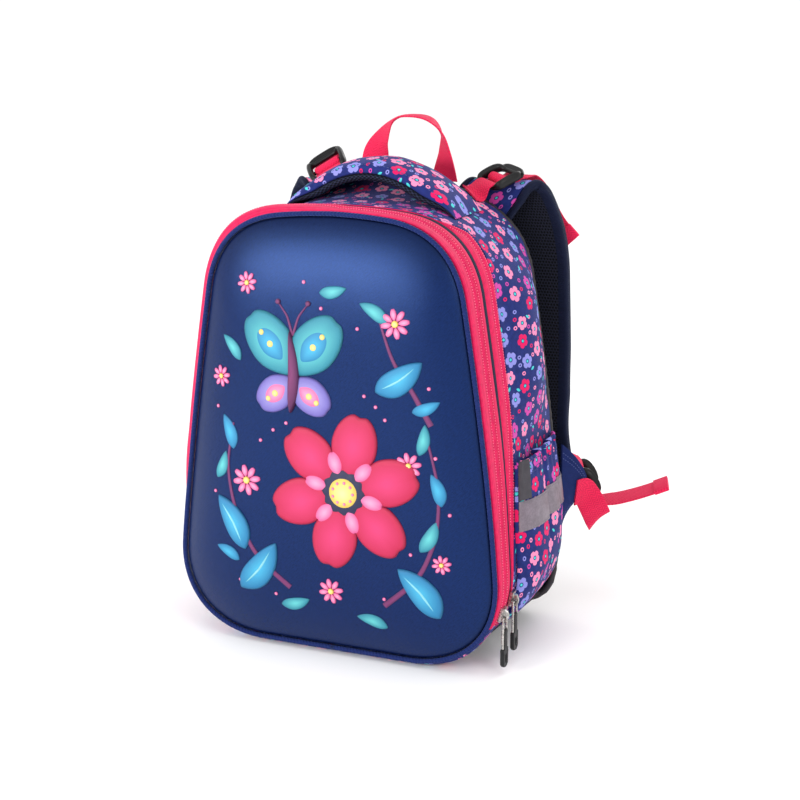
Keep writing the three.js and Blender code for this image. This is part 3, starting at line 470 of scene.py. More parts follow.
def volume(points, faces):
    """Six times the signed volume, to see which way faces look."""
    triangles = np.array([(f[0], b, c) for f in faces for b, c in zip(f[1:-1], f[2:])])
    a, b, c = (points[triangles[:, k]] for k in range(3))
    return float(np.sum(a * np.cross(b, c)))


def piece(name, parts, look, nodes=(), body=PACK):
    """One object from one or more (points, faces, uv) parts in millimetres."""
    points, faces, uvs, start = [], [], [], 0
    for p, f, uv in parts:
        p = np.asarray(p, float).reshape(-1, 3)
        flip = volume(p - p.mean(0), f) < 0
        faces += [tuple(start + i for i in (reversed(face) if flip else face)) for face in f]
        points.append(p)
        uvs.append(np.asarray(uv, float).reshape(-1, 2))
        start += len(p)
    points, uvs = np.concatenate(points) * MM, np.concatenate(uvs) * MM
    data = bpy.data.meshes.new(name)
    data.from_pydata(points.tolist(), [], faces)
    layer = data.uv_layers.new(name="print")
    index = np.zeros(len(data.loops), int)
    data.loops.foreach_get("vertex_index", index)
    layer.data.foreach_set("uv", uvs[index].astype(np.float32).ravel())
    data.shade_smooth()
    data.set_sharp_from_angle(angle=math.radians(SHARP))
    data.materials.append(look)
    return take(new_object(name, data), body, nodes)


def take(made, body, nodes):
    """Set an object on its body and hide the solids it stands for."""
    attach(made, body)
    if nodes:
        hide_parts(*nodes)
    return made


def loft(sections, closed=False, uv=None):
    """Closed body through rings of points, capped at both ends unless the rings close on themselves."""
    sections = np.asarray(sections, float)
    n, m, _ = sections.shape
    faces = []
    for i in range(n if closed else n - 1):
        j = (i + 1) % n
        for k in range(m):
            q = (k + 1) % m
            faces.append((i * m + k, i * m + q, j * m + q, j * m + k))
    points = sections.reshape(-1, 3)
    uv = np.zeros((n * m, 2)) if uv is None else np.asarray(uv, float).reshape(-1, 2)
    if not closed:
        for i, back in ((0, True), (n - 1, False)):
            hub = len(points)
            points = np.vstack([points, sections[i].mean(0)])
            uv = np.vstack([uv, uv[i * m:(i + 1) * m].mean(0)])
            for k in range(m):
                q = (k + 1) % m
                a, b = i * m + k, i * m + q
                faces.append((b, a, hub) if back else (a, b, hub))
    return points, faces, uv


def shell(outer, inner, uv):
    """Closed sheet between two grids of points."""
    outer, inner = np.asarray(outer, float), np.asarray(inner, float)
    n, m, _ = outer.shape
    far = n * m
    faces = []
    for i in range(n - 1):
        for j in range(m - 1):
            a, b, c, d = i * m + j, i * m + j + 1, (i + 1) * m + j + 1, (i + 1) * m + j
            faces.append((a, b, c, d))
            faces.append((far + a, far + d, far + c, far + b))
    rim = [(0, j) for j in range(m)] + [(i, m - 1) for i in range(1, n)]
    rim += [(n - 1, j) for j in range(m - 2, -1, -1)] + [(i, 0) for i in range(n - 2, 0, -1)]
    rim = [i * m + j for i, j in rim]
    for a, b in zip(rim, rim[1:] + rim[:1]):
        faces.append((b, a, far + a, far + b))
    points = np.concatenate([outer.reshape(-1, 3), inner.reshape(-1, 3)])
    uv = np.asarray(uv, float).reshape(-1, 2)
    return points, faces, np.concatenate([uv, uv])


def squared(v, power):
    """A sine or cosine bent towards a square, sign kept."""
    return np.sign(v) * np.abs(v) ** power


def unit(v):
    """Vectors of length 1."""
    v = np.asarray(v, float)
    return v / np.maximum(np.linalg.norm(v, axis=-1, keepdims=True), 1e-9)


def lengths(line):
    """Distance along a line of points."""
    return np.concatenate([[0], np.cumsum(np.linalg.norm(np.diff(line, axis=0), axis=1))])


def stitches(line, out, pitch=3.4, long=2.3, wide=0.75, high=0.4):
    """A run of sewn stitches along a line, each a small spindle lying on the surface."""
    line = np.asarray(line, float)
    out = np.broadcast_to(np.asarray(out, float), line.shape)
    run = lengths(line)
    at = np.arange(pitch / 2, run[-1], pitch)

    def found(rows, at):
        return np.stack([np.interp(at, run, rows[:, k]) for k in range(3)], 1)

    p, n = found(line, at), unit(found(out, at))
    along = unit(found(line, at + 0.5) - p + 1e-6)
    side = unit(np.cross(along, n))
    corner = [(-0.5, 0, -0.1), (-0.28, 0.5, 0.4), (-0.28, -0.5, 0.4), (-0.2, 0, 1), (0.2, 0, 1),
              (0.28, 0.5, 0.4), (0.28, -0.5, 0.4), (0.5, 0, -0.1), (0, 0, -0.5)]
    faces = [(0, 1, 3), (0, 3, 2), (1, 5, 4, 3), (2, 3, 4, 6), (7, 4, 5), (7, 6, 4),
             (0, 8, 1), (1, 8, 5), (5, 8, 7), (7, 8, 6), (6, 8, 2), (2, 8, 0)]
    points, made = [], []
    for i in range(len(at)):
        start = len(points)
        for a, b, c in corner:
            points.append(p[i] + along[i] * a * long + side[i] * b * wide + n[i] * c * high)
        made += [tuple(start + k for k in f) for f in faces]
    return np.array(points), made, np.array(points)[:, :2]


# The body's outline, from the middle of the base up the right side to the middle of the top


def bezier(points, n=500):
    t = np.linspace(0, 1, n)[:, None]
    rows = [np.array(p, float) for p in points]
    while len(rows) > 1:
        rows = [a * (1 - t) + b * t for a, b in zip(rows, rows[1:])]
    return rows[0]


HALF = WIDTH / 2
CORNERS = [  # across, up from the base
    [(0, 0), (HALF - LOW_CORNER, 0)],
    [(HALF - LOW_CORNER, 0), (HALF - 0.38 * LOW_CORNER, 0), (HALF + 3, 0.38 * LOW_CORNER),
     (HALF, LOW_CORNER)],
    [(HALF, LOW_CORNER), (HALF - 6, 165), SHOULDER],
    [SHOULDER, (SHOULDER[0] - 6.5, SHOULDER[1] + 39.5), (CREST + 37.8, HEIGHT - 7),
     (CREST, HEIGHT - CREST_DROP)],
    [(CREST, HEIGHT - CREST_DROP), (CREST / 2, HEIGHT), (0, HEIGHT)],
]
_line = np.concatenate([bezier(c) for c in CORNERS]) + (0, BASE_RISE)
_run = lengths(_line)
GIRTH = 2 * _run[-1]
SHARE = np.linspace(0, 1, 4001)
OX = np.interp(SHARE * _run[-1], _run, _line[:, 0])
OZ = np.interp(SHARE * _run[-1], _run, _line[:, 1])
_way = unit(np.stack([np.gradient(OX), np.gradient(OZ)], 1))


def outline_at(s):
    """Place and outward direction at a share of the way round."""
    turn = np.mod(s, 1.0)
    side = np.where(turn <= 0.5, 1.0, -1.0)
    t = np.where(turn <= 0.5, 2 * turn, 2 * (1 - turn))
    x, z = np.interp(t, SHARE, OX), np.interp(t, SHARE, OZ)
    dx, dz = np.interp(t, SHARE, _way[:, 0]), np.interp(t, SHARE, _way[:, 1])
    return side * x, z, side * dz, -dx


def turn_at_height(z):
    """Share of the way round at a height on the right side."""
    return np.interp(z, OZ + np.arange(len(OZ)) * 1e-7, SHARE) / 2


def crown(x, y):
    """Extra height of the top, rising to the back."""
    u = (x - CROWN_AT) / CROWN_HALF
    return CROWN * smooth(CROWN_FROM, BACK, y) * np.where(u * u < 1, (1 - u * u) ** 2, 0)


def wrap(s, y, lift=0.0):
    """A point on the wrapped body: round share, depth, and lift off the outline."""
    s, y, lift = np.broadcast_arrays(np.asarray(s, float), y, lift)
    x, z, nx, nz = outline_at(s)
    px = x + nx * lift
    return np.stack([px, y, z + nz * lift + np.where(z > HEIGHT / 2, crown(px, y), 0)], -1)


def outward(s):
    """Outward direction at a share of the way round."""
    _, _, nx, nz = outline_at(s)
    return np.stack([nx, np.zeros_like(nx), nz], -1)


def main_edge(s):
    """Rear edge of the main zip: far back at the shoulders, forward over the top and towards the base."""
    _, z, _, nz = outline_at(s)
    side = mix(ZIP_MAIN["low"], ZIP_MAIN["high"], smooth(ZIP_MAIN["bend_low"], ZIP_MAIN["bend_top"], z))
    return mix(side, ZIP_MAIN["over"], smooth(0.72, 0.97, nz))


def leftward(s):
    """Share of the lean to the left: full up the left side, none elsewhere."""
    _, z, nx, _ = outline_at(s)
    return np.sqrt(np.maximum(0, -nx)) * smooth(60, 170, z)


def flare(s):
    """How far the back edge stands out, most at the lower corners."""
    return BACK_FLARE * hump(outline_at(s)[1], 26, 20)


FRONT_TURN = float(turn_at_height(ZIP_FRONT["end_z"]))
WALL_TURN = float(turn_at_height(WALL_FOOT))
MAIN_TURN = float(np.interp(ZIP_MAIN["end_x"], OX[:2000], SHARE[:2000])) / 2
PANEL_C = BASE_RISE + HEIGHT * PANEL_MID
INSET = 4.2
GAP = 0.0004  # share of the way round between pieces that meet


def strip(s, section, closed=False):
    """Loft round the outline; section(s) lists (depth, lift) pairs."""
    rows = [section(v) for v in s]
    sections = np.array([[wrap(v, y, lift) for y, lift in row] for v, row in zip(s, rows)])
    uv = [[(v * GIRTH, y) for y, _ in row] for v, row in zip(s, rows)]
    return loft(sections, closed, uv)


def panel_edge(s, inset):
    """The front panel's edge, set in from the outline."""
    x, z, nx, nz = outline_at(s)
    inset = inset + PANEL_TUCK * leftward(s)
    return x - nx * inset, z - nz * inset


_s = shares(2000)
_ex, _ez = panel_edge(_s, INSET)
_angle = np.unwrap(np.arctan2(_ez - PANEL_C, _ex))
_reach = np.hypot(_ex, _ez - PANEL_C)


def panel_depth(x, z):
    """Depth of the front panel's face."""
    angle = np.mod(np.arctan2(z - PANEL_C, x) - _angle[0], 2 * pi) + _angle[0]
    k = np.hypot(x, z - PANEL_C) / np.interp(angle, _angle, _reach)
    return FRONT - 1 - PANEL_DOME * (1 - np.minimum(1, k) ** 5)


# Front panel, piping and the raised design


def drawn_in(x, z, steps):
    """Closed pad through rings of an edge; steps lists each ring's share of the edge and its depth."""
    rows = []
    for k, depth in steps:
        px, pz = x * k, PANEL_C + (z - PANEL_C) * k
        y = depth(px, pz) if callable(depth) else np.full_like(px, depth)
        rows.append(np.stack([px, y, pz], -1))
    return loft(rows, uv=[row[:, ::2] for row in rows])


def front_panel():
    around = shares(216)
    # share of the edge that faces up, where more painted shade falls under the top's edge
    top = smooth(0.3, 0.9, outline_at(around)[3])

    def face(k):
        return FRONT - 1 - PANEL_DOME * (1 - k ** 5)

    def rim(k):
        """How far painted shade darkens the cloth: where it turns in, and under the top's edge."""
        turned = smooth(0.975, 1.0, k)
        return 0.8 * turned + 0.55 * top * smooth(0.84, 0.97, k) * (1 - turned)

    steps = [(k, face(k) + 3) for k in (0.004, 0.3, 0.6, 0.85, 0.985)]
    steps += [(k, FRONT + depth) for k, depth in ((0.996, 2), (1.011, 1.8), (1.013, 1.2), (1.002, 0.9))]
    steps += [(1.0, face(1.0) + 0.6), (0.994, face(0.997))]
    steps += [(k, face(k)) for k in (0.98, 0.96, 0.93, 0.9, 0.86, 0.82, 0.77, 0.71, 0.64, 0.56, 0.47, 0.37,
                                     0.26, 0.14, 0.004)]
    pad = drawn_in(*panel_edge(around, INSET), steps)
    made = piece("front_panel_face", [pad], PANEL, ["front_panel"])
    # painted shade per point, kept in the mesh's "rim" attribute for the panel material
    painted_shade = np.append(np.concatenate([rim(k) for k, _ in steps]), (0.0, 0.0))
    made.data.attributes.new("rim", "FLOAT", "POINT").data.foreach_set("value", painted_shade.astype(np.float32))
    s = shares(320)
    turn = circle(12)

    def section(v):
        middle = -PIPING_R - PANEL_TUCK * float(leftward(v))
        return [(FRONT - 1.6 + PIPING_R * cos(a), middle + PIPING_R * sin(a)) for a in turn]

    piece("front_piping_cord", [strip(s, section, True)], PIPING, ["front_piping"])


def pillow(outline, middle, high):
    """A raised shape on the panel: rings from its outline, sunk into the cloth, up to its middle."""
    outline, middle = np.asarray(outline, float), np.asarray(middle, float)
    rows, uv = [], []
    for k, lift in ((1.0, -0.8 / high), (1.0, 0.25), (0.96, 0.6), (0.88, 0.82), (0.7, 0.94), (0.45, 1),
                    (0.2, 1), (0.02, 0.945)):
        p = middle + (outline - middle) * k
        rows.append(np.stack([p[:, 0], panel_depth(p[:, 0], p[:, 1]) - high * lift, p[:, 1]], -1))
        uv.append(np.stack([p[:, 0], np.full(len(p), (k if k > 0.1 else 0) / MM)], -1))
    return loft(rows, uv=uv)


def placed(shape, x, z, lean):
    """A flat shape turned and moved to its place on the panel."""
    c, s = cos(lean), sin(lean)
    shape = np.asarray(shape, float)
    return np.stack([x + shape[:, 0] * c - shape[:, 1] * s, z + shape[:, 0] * s + shape[:, 1] * c], -1)


TURN = circle(48)


def petal_shape(long, wide, notch=0.1):
    """Petal along +x about its own middle: round outside, narrowing to the root, with a small notch."""
    x, z = np.cos(TURN), np.sin(TURN)
    squeeze = np.where(x < 0, 1 - 0.45 * x * x, 1.0)
    dent = 1 - notch * np.exp(-((np.angle(np.exp(1j * TURN)) / 0.22) ** 2))
    return np.stack([long * x * dent, wide * z * squeeze], -1)


def leaf_shape(long, wide):
    x = np.cos(TURN)
    z = np.sin(TURN) * (1 - 0.25 * x) * np.sqrt(np.clip(1 - np.abs(x) ** 3, 0.0, 1)) ** 0.6
    return np.stack([long * x, wide * z + 0.12 * long * (x * x - 0.4)], -1)


def stem(points, wide):
    """A flat printed stem through points on the panel, tapering to its end."""
    points = np.asarray(points, float)
    t = np.linspace(0, 1, 60)
    at = np.linspace(0, 1, len(points))
    line = np.stack([np.interp(t, at, points[:, k]) for k in (0, 1)], -1)
    for _ in range(40):
        line[1:-1] = (line[:-2] + 2 * line[1:-1] + line[2:]) / 4
    way = unit(np.gradient(line, axis=0))
    side = np.stack([-way[:, 1], way[:, 0]], -1)
    rows, uv = [], []
    for i, (p, n) in enumerate(zip(line, side)):
        w = wide * (1 - 0.7 * t[i]) / 2 + 0.25
        ring = [(-1, -0.6), (-0.8, 0.5), (0, 0.75), (0.8, 0.5), (1, -0.6)]
        rows.append([(p[0] + n[0] * a * w, panel_depth(p[0] + n[0] * a * w, p[1] + n[1] * a * w) - h,
                      p[1] + n[1] * a * w) for a, h in ring])
        uv.append([(p[0], abs(a) / MM) for a, _ in ring])
    return loft(rows, uv=uv)


INK = {name: material(f"ink_{name}", inked(srgb(*inner), srgb(*outer))) for name, inner, outer in (
    ("crimson", (196, 42, 100), (174, 8, 64)), ("rose", (224, 142, 174), (206, 84, 138)),
    ("yellow", (228, 212, 138), (208, 174, 72)), ("teal", (84, 178, 180), (28, 120, 140)),
    ("cyan", (56, 158, 194), (14, 108, 154)), ("lilac", (152, 144, 198), (100, 90, 164)),
    ("plum", (108, 34, 90), (80, 24, 74)), ("mint", (136, 196, 204), (108, 178, 190)),
    ("navy", (28, 32, 76), (22, 24, 60)),
)}
BLOOM = {"x": 18, "z": 150, "petals": 6, "reach": 40, "long": 27, "wide": 19}
WINGS = (  # x, z, long, wide, lean, ink
    (-46, 268, 30, 19, 2.3, "teal"), (-8, 268, 30, 19, 0.84, "teal"),
    (-42, 228, 20, 14, -2.5, "lilac"), (-12, 228, 20, 14, -0.64, "lilac"),
)
LEAVES = ((-62, 74, 27, 11, 0.9), (-86, 112, 24, 10, 2.1), (84, 72, 25, 11, 2.3), (66, 248, 22, 10, 0.6))
SPRIGS = (  # x, z, long, wide, lean
    (-88, 190, 15, 6, 1.9), (-96, 160, 13, 5, 1.2), (92, 120, 15, 6, 1.1), (98, 160, 14, 5.5, 1.9),
    (86, 200, 13, 5, 1.4), (44, 300, 14, 5.5, 2.6), (88, 226, 12, 5, 0.4), (-30, 46, 14, 5.5, 0.3),
    (40, 40, 14, 5.5, 2.9), (-92, 84, 12, 5, 2.7), (8, 314, 12, 5, 0.2), (-84, 262, 13, 5, 2.3),
)
DAISIES = (  # x, z, size
    (-72, 150, 13), (74, 178, 11), (-70, 316, 9), (62, 292, 12), (4, 62, 11), (-96, 236, 9), (102, 98, 8),
)
DOTS = (
    (-58, 186), (-46, 196), (-34, 203), (96, 186), (90, 242), (30, 286), (-2, 300), (52, 62), (-48, 52),
    (-104, 136), (108, 140), (76, 104), (-100, 210), (36, 232), (46, 224), (54, 214), (-18, 320), (-82, 60),
)
STEMS = (
    ((-34, 60), (-66, 84), (-84, 120), (-92, 160), (-84, 198)),
    ((52, 56), (84, 84), (98, 120), (100, 160), (88, 205)),
    ((92, 212), (76, 240), (60, 262), (48, 296)),
)


def design():
    inks = {key: [] for key in INK}
    ring = np.stack([np.cos(TURN), np.sin(TURN)], -1)

    def motif(ink, shape, x, z, lean, high):
        inks[ink].append(pillow(placed(shape, x, z, lean), (x, z), high))

    def about(x, z, reach, angle):
        return x + reach * cos(angle), z + reach * sin(angle)

    core = (BLOOM["x"], BLOOM["z"])
    for i in range(BLOOM["petals"]):
        lean = 2 * pi * i / BLOOM["petals"] + 0.3
        outer = petal_shape(BLOOM["long"] * 1.05, BLOOM["wide"] * 1.05)
        motif("crimson", outer, *about(*core, BLOOM["reach"], lean), lean, 2.6)
        way = lean + pi / BLOOM["petals"]
        motif("rose", petal_shape(11, 6.5), *about(*core, 25, way), way, 3.0)
    wavy = ring * (1 + 0.06 * np.cos(12 * TURN))[:, None]
    motif("navy", wavy * 19.5, *core, 0, 3.3)
    motif("yellow", ring * 13.5, *core, 0, 4.3)
    for j in range(9):
        motif("rose", ring * 1.5, *about(*core, 9, 2 * pi * j / 9), 0, 4.9)
    for x, z, long, wide, lean, ink in WINGS:
        motif(ink, petal_shape(long * 1.05, wide * 1.05, 0.06), x, z, lean, 2.6)
        inner = "cyan" if ink == "teal" else "rose"
        motif(inner, petal_shape(long * 0.62, wide * 0.6, 0.06), x, z, lean, 3.0)
        for off, size in ((0.42, 2.6), (0.02, 3.4)):
            motif("yellow", ring * size, *about(x, z, long * off, lean), 0, 3.4)
    motif("plum", leaf_shape(34, 4.6), -27, 246, 1.57, 5.2)
    for bend in (-1, 1):
        inks["plum"].append(stem([(-27, 276), (-27 + bend * 5, 292), (-27 + bend * 13, 302)], 2.2))
        motif("plum", ring * 2.2, -27 + bend * 13.5, 303, 0, 1.6)
    for x, z, long, wide, lean in LEAVES:
        motif("cyan", leaf_shape(long * 1.06, wide * 1.08), x, z, lean, 2.6)
        motif("mint", leaf_shape(long * 0.85, 0.9), x, z, lean, 2.95)
    for i, (x, z, long, wide, lean) in enumerate(SPRIGS):
        motif("teal" if i % 3 else "cyan", leaf_shape(long, wide), x, z, lean, 1.1)
    for x, z, size in DAISIES:
        for j in range(8):
            a = 2 * pi * j / 8 + 0.2
            motif("rose", petal_shape(size * 0.42, size * 0.21), *about(x, z, 0.62 * size, a), a, 1.2)
        motif("yellow", ring * size * 0.24, x, z, 0, 1.9)
    for x, z in DOTS:
        motif("rose", ring * 1.5, x, z, 0, 0.9)
    for line in STEMS:
        inks["plum"].append(stem(line, 5))
    for key, parts in inks.items():
        piece(f"design_{key}", parts, INK[key])


# Zips, gusset and body


def seam(s):
    """Line between the two zips: further back over the top than at the base."""
    return mix(*ZIP_SEAM, smooth(*ZIP_BEND, outline_at(s)[1]))


def groove(s):
    """Half the width of the groove between the zips, whose dark strip is partly a navy seam and partly painted
    shade; widest at the shoulders.
    """
    return mix(1.3, 3.3, smooth(150, 260, outline_at(s)[1]))


def bulge(s, y):
    """How far the zips stand out on the left: in at the piping, most at the front coil, none at the rear."""
    crest, line, rear = ZIP_FRONT["coil"] - 3.5, seam(s), main_edge(s)
    rise = mix(-PANEL_TUCK, ZIP_LEAN, smooth(ZIP_FRONT["from"], crest, y))
    fall = mix(ZIP_LEAN, ZIP_LEAN / 2, np.clip((y - crest) / (line - crest), 0, 1))
    last = mix(ZIP_LEAN / 2, 0, np.clip((y - line) / np.maximum(rear - line, 0.1), 0, 1))
    return leftward(s) * np.where(y < crest, rise, np.where(y < line, fall, last))


def on_zip(s, y, lift):
    """A point on the zips, with their lean."""
    return wrap(s, y, lift + bulge(s, y))


def chain(s, at, height, half=2.2, pitch=1.5):
    """The two rolled tape edges over a hidden coil, with a groove between them."""
    rows = []
    phase = 2 * pi * s * GIRTH / pitch
    edge = ((-1.6, -0.8), (-1.25, 0.2), (-0.8, 0.9), (-0.35, 0.7), (-0.12, -0.9))
    for u, base in (*edge, *((-u, base) for u, base in reversed(edge))):
        beat = 0.5 + 0.5 * np.sin(phase + (0 if u < 0 else pi))
        lift = height * (base + (0.3 * beat if base > 0.5 else 0))
        rows.append(on_zip(s, at + u * half * np.minimum(1, height), lift))
    grid = np.stack(rows, 1)
    uv = [[(v * GIRTH, k * 0.8) for k in range(len(rows))] for v in s]
    return loft(grid, uv=uv)


def dots(s, y, lift):
    """Close light stitches along a zip."""
    return stitches(on_zip(s, y, lift), outward(s), 2.3, 1.35, 1.05, 0.55)


def zip_strip(s, section):
    """A strip that follows the zips' lean."""
    return strip(s, lambda v: [(y, lift + float(bulge(v, y))) for y, lift in section(v)])


def zip_front():
    s = np.linspace(FRONT_TURN, 1 - FRONT_TURN, 361)
    a = ZIP_FRONT["from"]

    def middle(v):
        return mix(ZIP_FRONT["coil"], ZIP_FRONT["coil_top"], smooth(*ZIP_BEND, outline_at(v)[1]))

    def section(v):
        b, c = float(seam(v) - groove(v)), float(middle(v))
        return [(a, -1.5), (mix(a, b, 0.35), -1.9), (b, -1.9), (b + 0.1, -1), (b - 0.8, -0.3), (b - 3, 0.2),
                (c + 5.5, 0.4), (c + 3.6, -1.4), (c - 3.6, -1.4), (c - 5.5, 0.4), (mix(a, c, 0.35), 0.7),
                (a + 2, 0.4), (a + 0.6, 0.1), (a, -0.4)]

    fine = np.linspace(FRONT_TURN, 1 - FRONT_TURN, 2400)
    piece("zip_front_tape", [zip_strip(s, section)], PINK_TAPE, ["zip_front"])
    piece("zip_front_chain", [chain(fine, middle(fine), np.full(2400, 1.0))], PINK_COIL)
    runs = [dots(s, y, 0.5) for y in (middle(s) - 4.9, middle(s) + 4.9)]
    piece("zip_front_thread", runs, THREAD["pink"])
    turn = circle(8)

    # dark strip in the groove between the zips: partly the navy seam, partly painted shade for the shadow in
    # the gap
    def rolled(v):
        mid, half = float(seam(v)), float(groove(v)) + 0.4
        return [(mid + half * cos(q), -0.9 + 0.6 * sin(q)) for q in turn]

    piece("zip_seam_and_painted_shade", [zip_strip(s, rolled)], BINDING)


def zip_main():
    s = np.linspace(MAIN_TURN, 1 - MAIN_TURN, 401)

    def place(v):
        a, to = np.minimum(seam(v) + groove(v), main_edge(v) - 1.5), main_edge(v) - 0.5
        room = to - a
        return a, to, room, to - np.minimum(6.5, room * 0.45)

    def section(v):
        a, to, room, at = place(v)
        wide = min(3.0, room * 0.25)
        deep = min(1.4, room * 0.1)
        return [(a, -2.6), (to, -2.1), (to, -0.4), (to - 0.06 * room, 0.1), (at + wide * 1.4, 0.1),
                (at + wide, -deep), (at - wide, -deep), (at - wide * 1.6, 0.1), (mix(a, at, 0.4), 0.3),
                (a + 0.1 * room, -0.3), (a, -1.2)]

    fine = np.linspace(MAIN_TURN, 1 - MAIN_TURN, 2600)
    _, _, room, at = place(fine)
    piece("zip_main_tape", [zip_strip(s, section)], PINK_TAPE, ["zip_main"])
    piece("zip_main_chain", [chain(fine, at, np.clip(room / 11, 0.02, 1.0))], PINK_COIL)
    runs = []
    for half in (s[s < 0.5], s[s > 0.5]):
        high = half[main_edge(half) - seam(half) > 12]
        _, _, _, at = place(high)
        runs += [dots(high, at - 4.4, 0.2), dots(high, at + 4.2, 0.2)]
    piece("zip_main_thread", runs, THREAD["pink"])


def gusset():
    a, b = ZIP_FRONT["from"], ZIP_FRONT["to"]

    def section(v):
        belly = 3.7 * (1 - float(smooth(BASE_RISE, ZIP_FRONT["end_z"], outline_at(v)[1])))
        rows = [(mix(a, b, k), belly * (1 - abs(2 * k - 0.95) ** 8) + 0.1)
                for k in np.linspace(0.02, 0.98, 12)]
        return [(b, -WALL), (a, -WALL), (a, -0.3), *rows, (b, -0.3)]

    s = np.linspace(1 - FRONT_TURN + GAP, 1 + FRONT_TURN - GAP, 121)
    made = piece("gusset_low_cloth", [strip(s, section)], FLORAL, ["gusset_low"])


def ripple(u, v):
    """Slack in the cloth, a fraction of a millimetre."""
    return (np.sin(u / 23 + 2.1 * np.sin(v / 31)) + np.sin(u / 11.3 - v / 17 + 1.3 * np.sin(u / 37))) / 2


def body_wall():
    s = np.linspace(WALL_TURN, 1 - WALL_TURN, 331)
    k = np.linspace(0, 1, 37)
    front, rear = main_edge(s), BACK - 1.2
    y = front[:, None] + (rear - front)[:, None] * k[None]
    S = np.repeat(s[:, None], len(k), 1)
    run = S * GIRTH
    edge = hump(y, front[:, None], 5) + hump(y, rear, 6)
    lift = 0.25 * ripple(run, y) + 0.35 * edge * np.sin(run / 4.2 + 1.5 * np.sin(run / 29))
    lift += 0.7 * hump(y, front[:, None] + 2.2, 2.0)
    x, z, _, _ = outline_at(S)
    swell = smooth(165, 240, z) * (1 - smooth(290, 350, z)) * (1 - (2 * k[None] - 1) ** 2) ** 1.4
    under_grip = hump(y, 50, 17) * np.clip(1 - ((x + 18) / 80) ** 2, 0, 1) * (z > HEIGHT / 2)
    lift += BELLY * swell + 6 * under_grip
    cloth = shell(wrap(S, y, lift), wrap(S, y, lift - WALL), np.stack([run, y], -1))
    piece("body_wall_cloth", [cloth], FLORAL, ["body_wall"])
    runs = [stitches(wrap(s, at, off), outward(s)) for at, off in ((front + 3.6, 0.55), (BACK - 5.0, 0.3))]
    piece("body_wall_thread", runs, THREAD["navy"])


def skirt_lift(z):
    """How far the base cloth stands off the outline: down to the floor below, close at the sides."""
    return mix(BASE_RISE, 1.2, smooth(BASE_RISE, WALL_FOOT, z))


def base_panel():
    to = BACK - 1.5

    def section(v):
        x, z, _, _ = outline_at(v)
        start = ZIP_MAIN["from"] if abs(x) < ZIP_MAIN["end_x"] - 16 else ZIP_MAIN["low"]
        skirt = float(skirt_lift(z))
        deep = skirt + 0.6 * float(flare(v) * smooth(BASE_RISE, 20, z))
        under = [(mix(start, to, k), mix(skirt, deep, k)) for k in np.linspace(0.02, 0.98, 14)]
        return [(to, -WALL), (start, -WALL), (start, skirt - 0.8), *under, (to, deep - 0.8)]

    s = np.linspace(1 - WALL_TURN + GAP, 1 + WALL_TURN - GAP, 97)
    piece("base_panel_cloth", [strip(s, section)], COATED, ["base_panel"])
    line = np.linspace(1 - WALL_TURN + 0.03, 1 + WALL_TURN - 0.03, 90)
    skirt = skirt_lift(outline_at(line)[1])
    runs = [stitches(wrap(line, y, skirt), outward(line), high=0.2) for y in (-38.0, 70.0)]
    piece("base_panel_thread", runs, THREAD["grey"])


def back_rim(s):
    """Edge of the back panel."""
    return wrap(s, BACK, flare(s) - 0.6)


def back_depth(x, z, k, sewn=1.0):
    """Padded back: two long pads either side of a channel, with sewn lines across and a swell low down."""
    seams = sewn * sum(2.0 * hump(z, at, 4.5) for at in BACK_SEAMS) * (1 - hump(x, 0, 22))
    return BACK - 1 + BACK_EDGE + (1 - k ** 6) * (BACK_PAD + 4 * hump(z, 95, 45) - 5 * hump(x, 0, 15) - seams)


def back_panel():
    edge = back_rim(shares(240))
    steps = [(k, BACK - 1) for k in (0.004, 0.5, 0.95)]
    for k in (0.985, 0.965, 0.94, 0.91, 0.87, *np.linspace(0.83, 0.004, 34)):
        steps.append((k, lambda x, z, k=k: back_depth(x, z, k)))
    pad = drawn_in(edge[:, 0], edge[:, 2], steps)
    made = piece("back_panel_pad", [pad], MESH, ["back_panel"])
    turn = circle(12)
    s = shares(320)

    def section(v):
        ribbed = 3.0 + 0.25 * sin(v * GIRTH / 0.9)
        _, z, nx, _ = outline_at(v)
        mid = -2.4 + float((flare(v) + 3 * hump(z, 14, 14)) * np.sqrt(np.abs(nx)))
        return [(BACK + 2.6 + ribbed * 1.15 * cos(a), mid + ribbed * sin(a)) for a in turn]

    piece("back_binding", [strip(s, section, True)], COATED)


# Side pockets


def pocket_lift(u, z):
    """How far the pocket stands off the body: pleats, and gathers at the mouth."""
    v = (z - POCKET["low"]) / (POCKET["high"] - POCKET["low"])
    foot = np.clip(v / mix(0.22, 0.6, u), 0, 1) ** 0.8
    mouth = 1 - 0.42 * np.clip((v - 0.55) / 0.45, 0, 1.1) ** 1.5
    lift = POCKET["bulge"] * foot * mouth * (1 - (2 * u - 1) ** 4)
    for at, depth in PLEATS:
        lift = lift * (1 - depth * smooth(at - 0.008, at + 0.008, u) * np.exp(-np.clip(u - at, 0, 1) / 0.09))
    gather = np.clip((v - 0.72) / 0.28, 0, 1) ** 2
    return lift + gather * (0.9 * np.sin(u * 47 + 2 * np.sin(u * 13)) + 0.5 * np.sin(u * 83))


def pocket_point(side, u, z, off):
    """A point on a pocket: share of its width, height, and distance off its cloth."""
    turn = turn_at_height(z)
    front = np.maximum(POCKET["front"] - 3, main_edge(turn) - 1.2)
    y = front + (POCKET["back"] - front) * u
    lift = POCKET["seat"] + np.maximum(pocket_lift(u, z), 0.0) + off
    return wrap(turn if side > 0 else 1 - turn, y, lift)


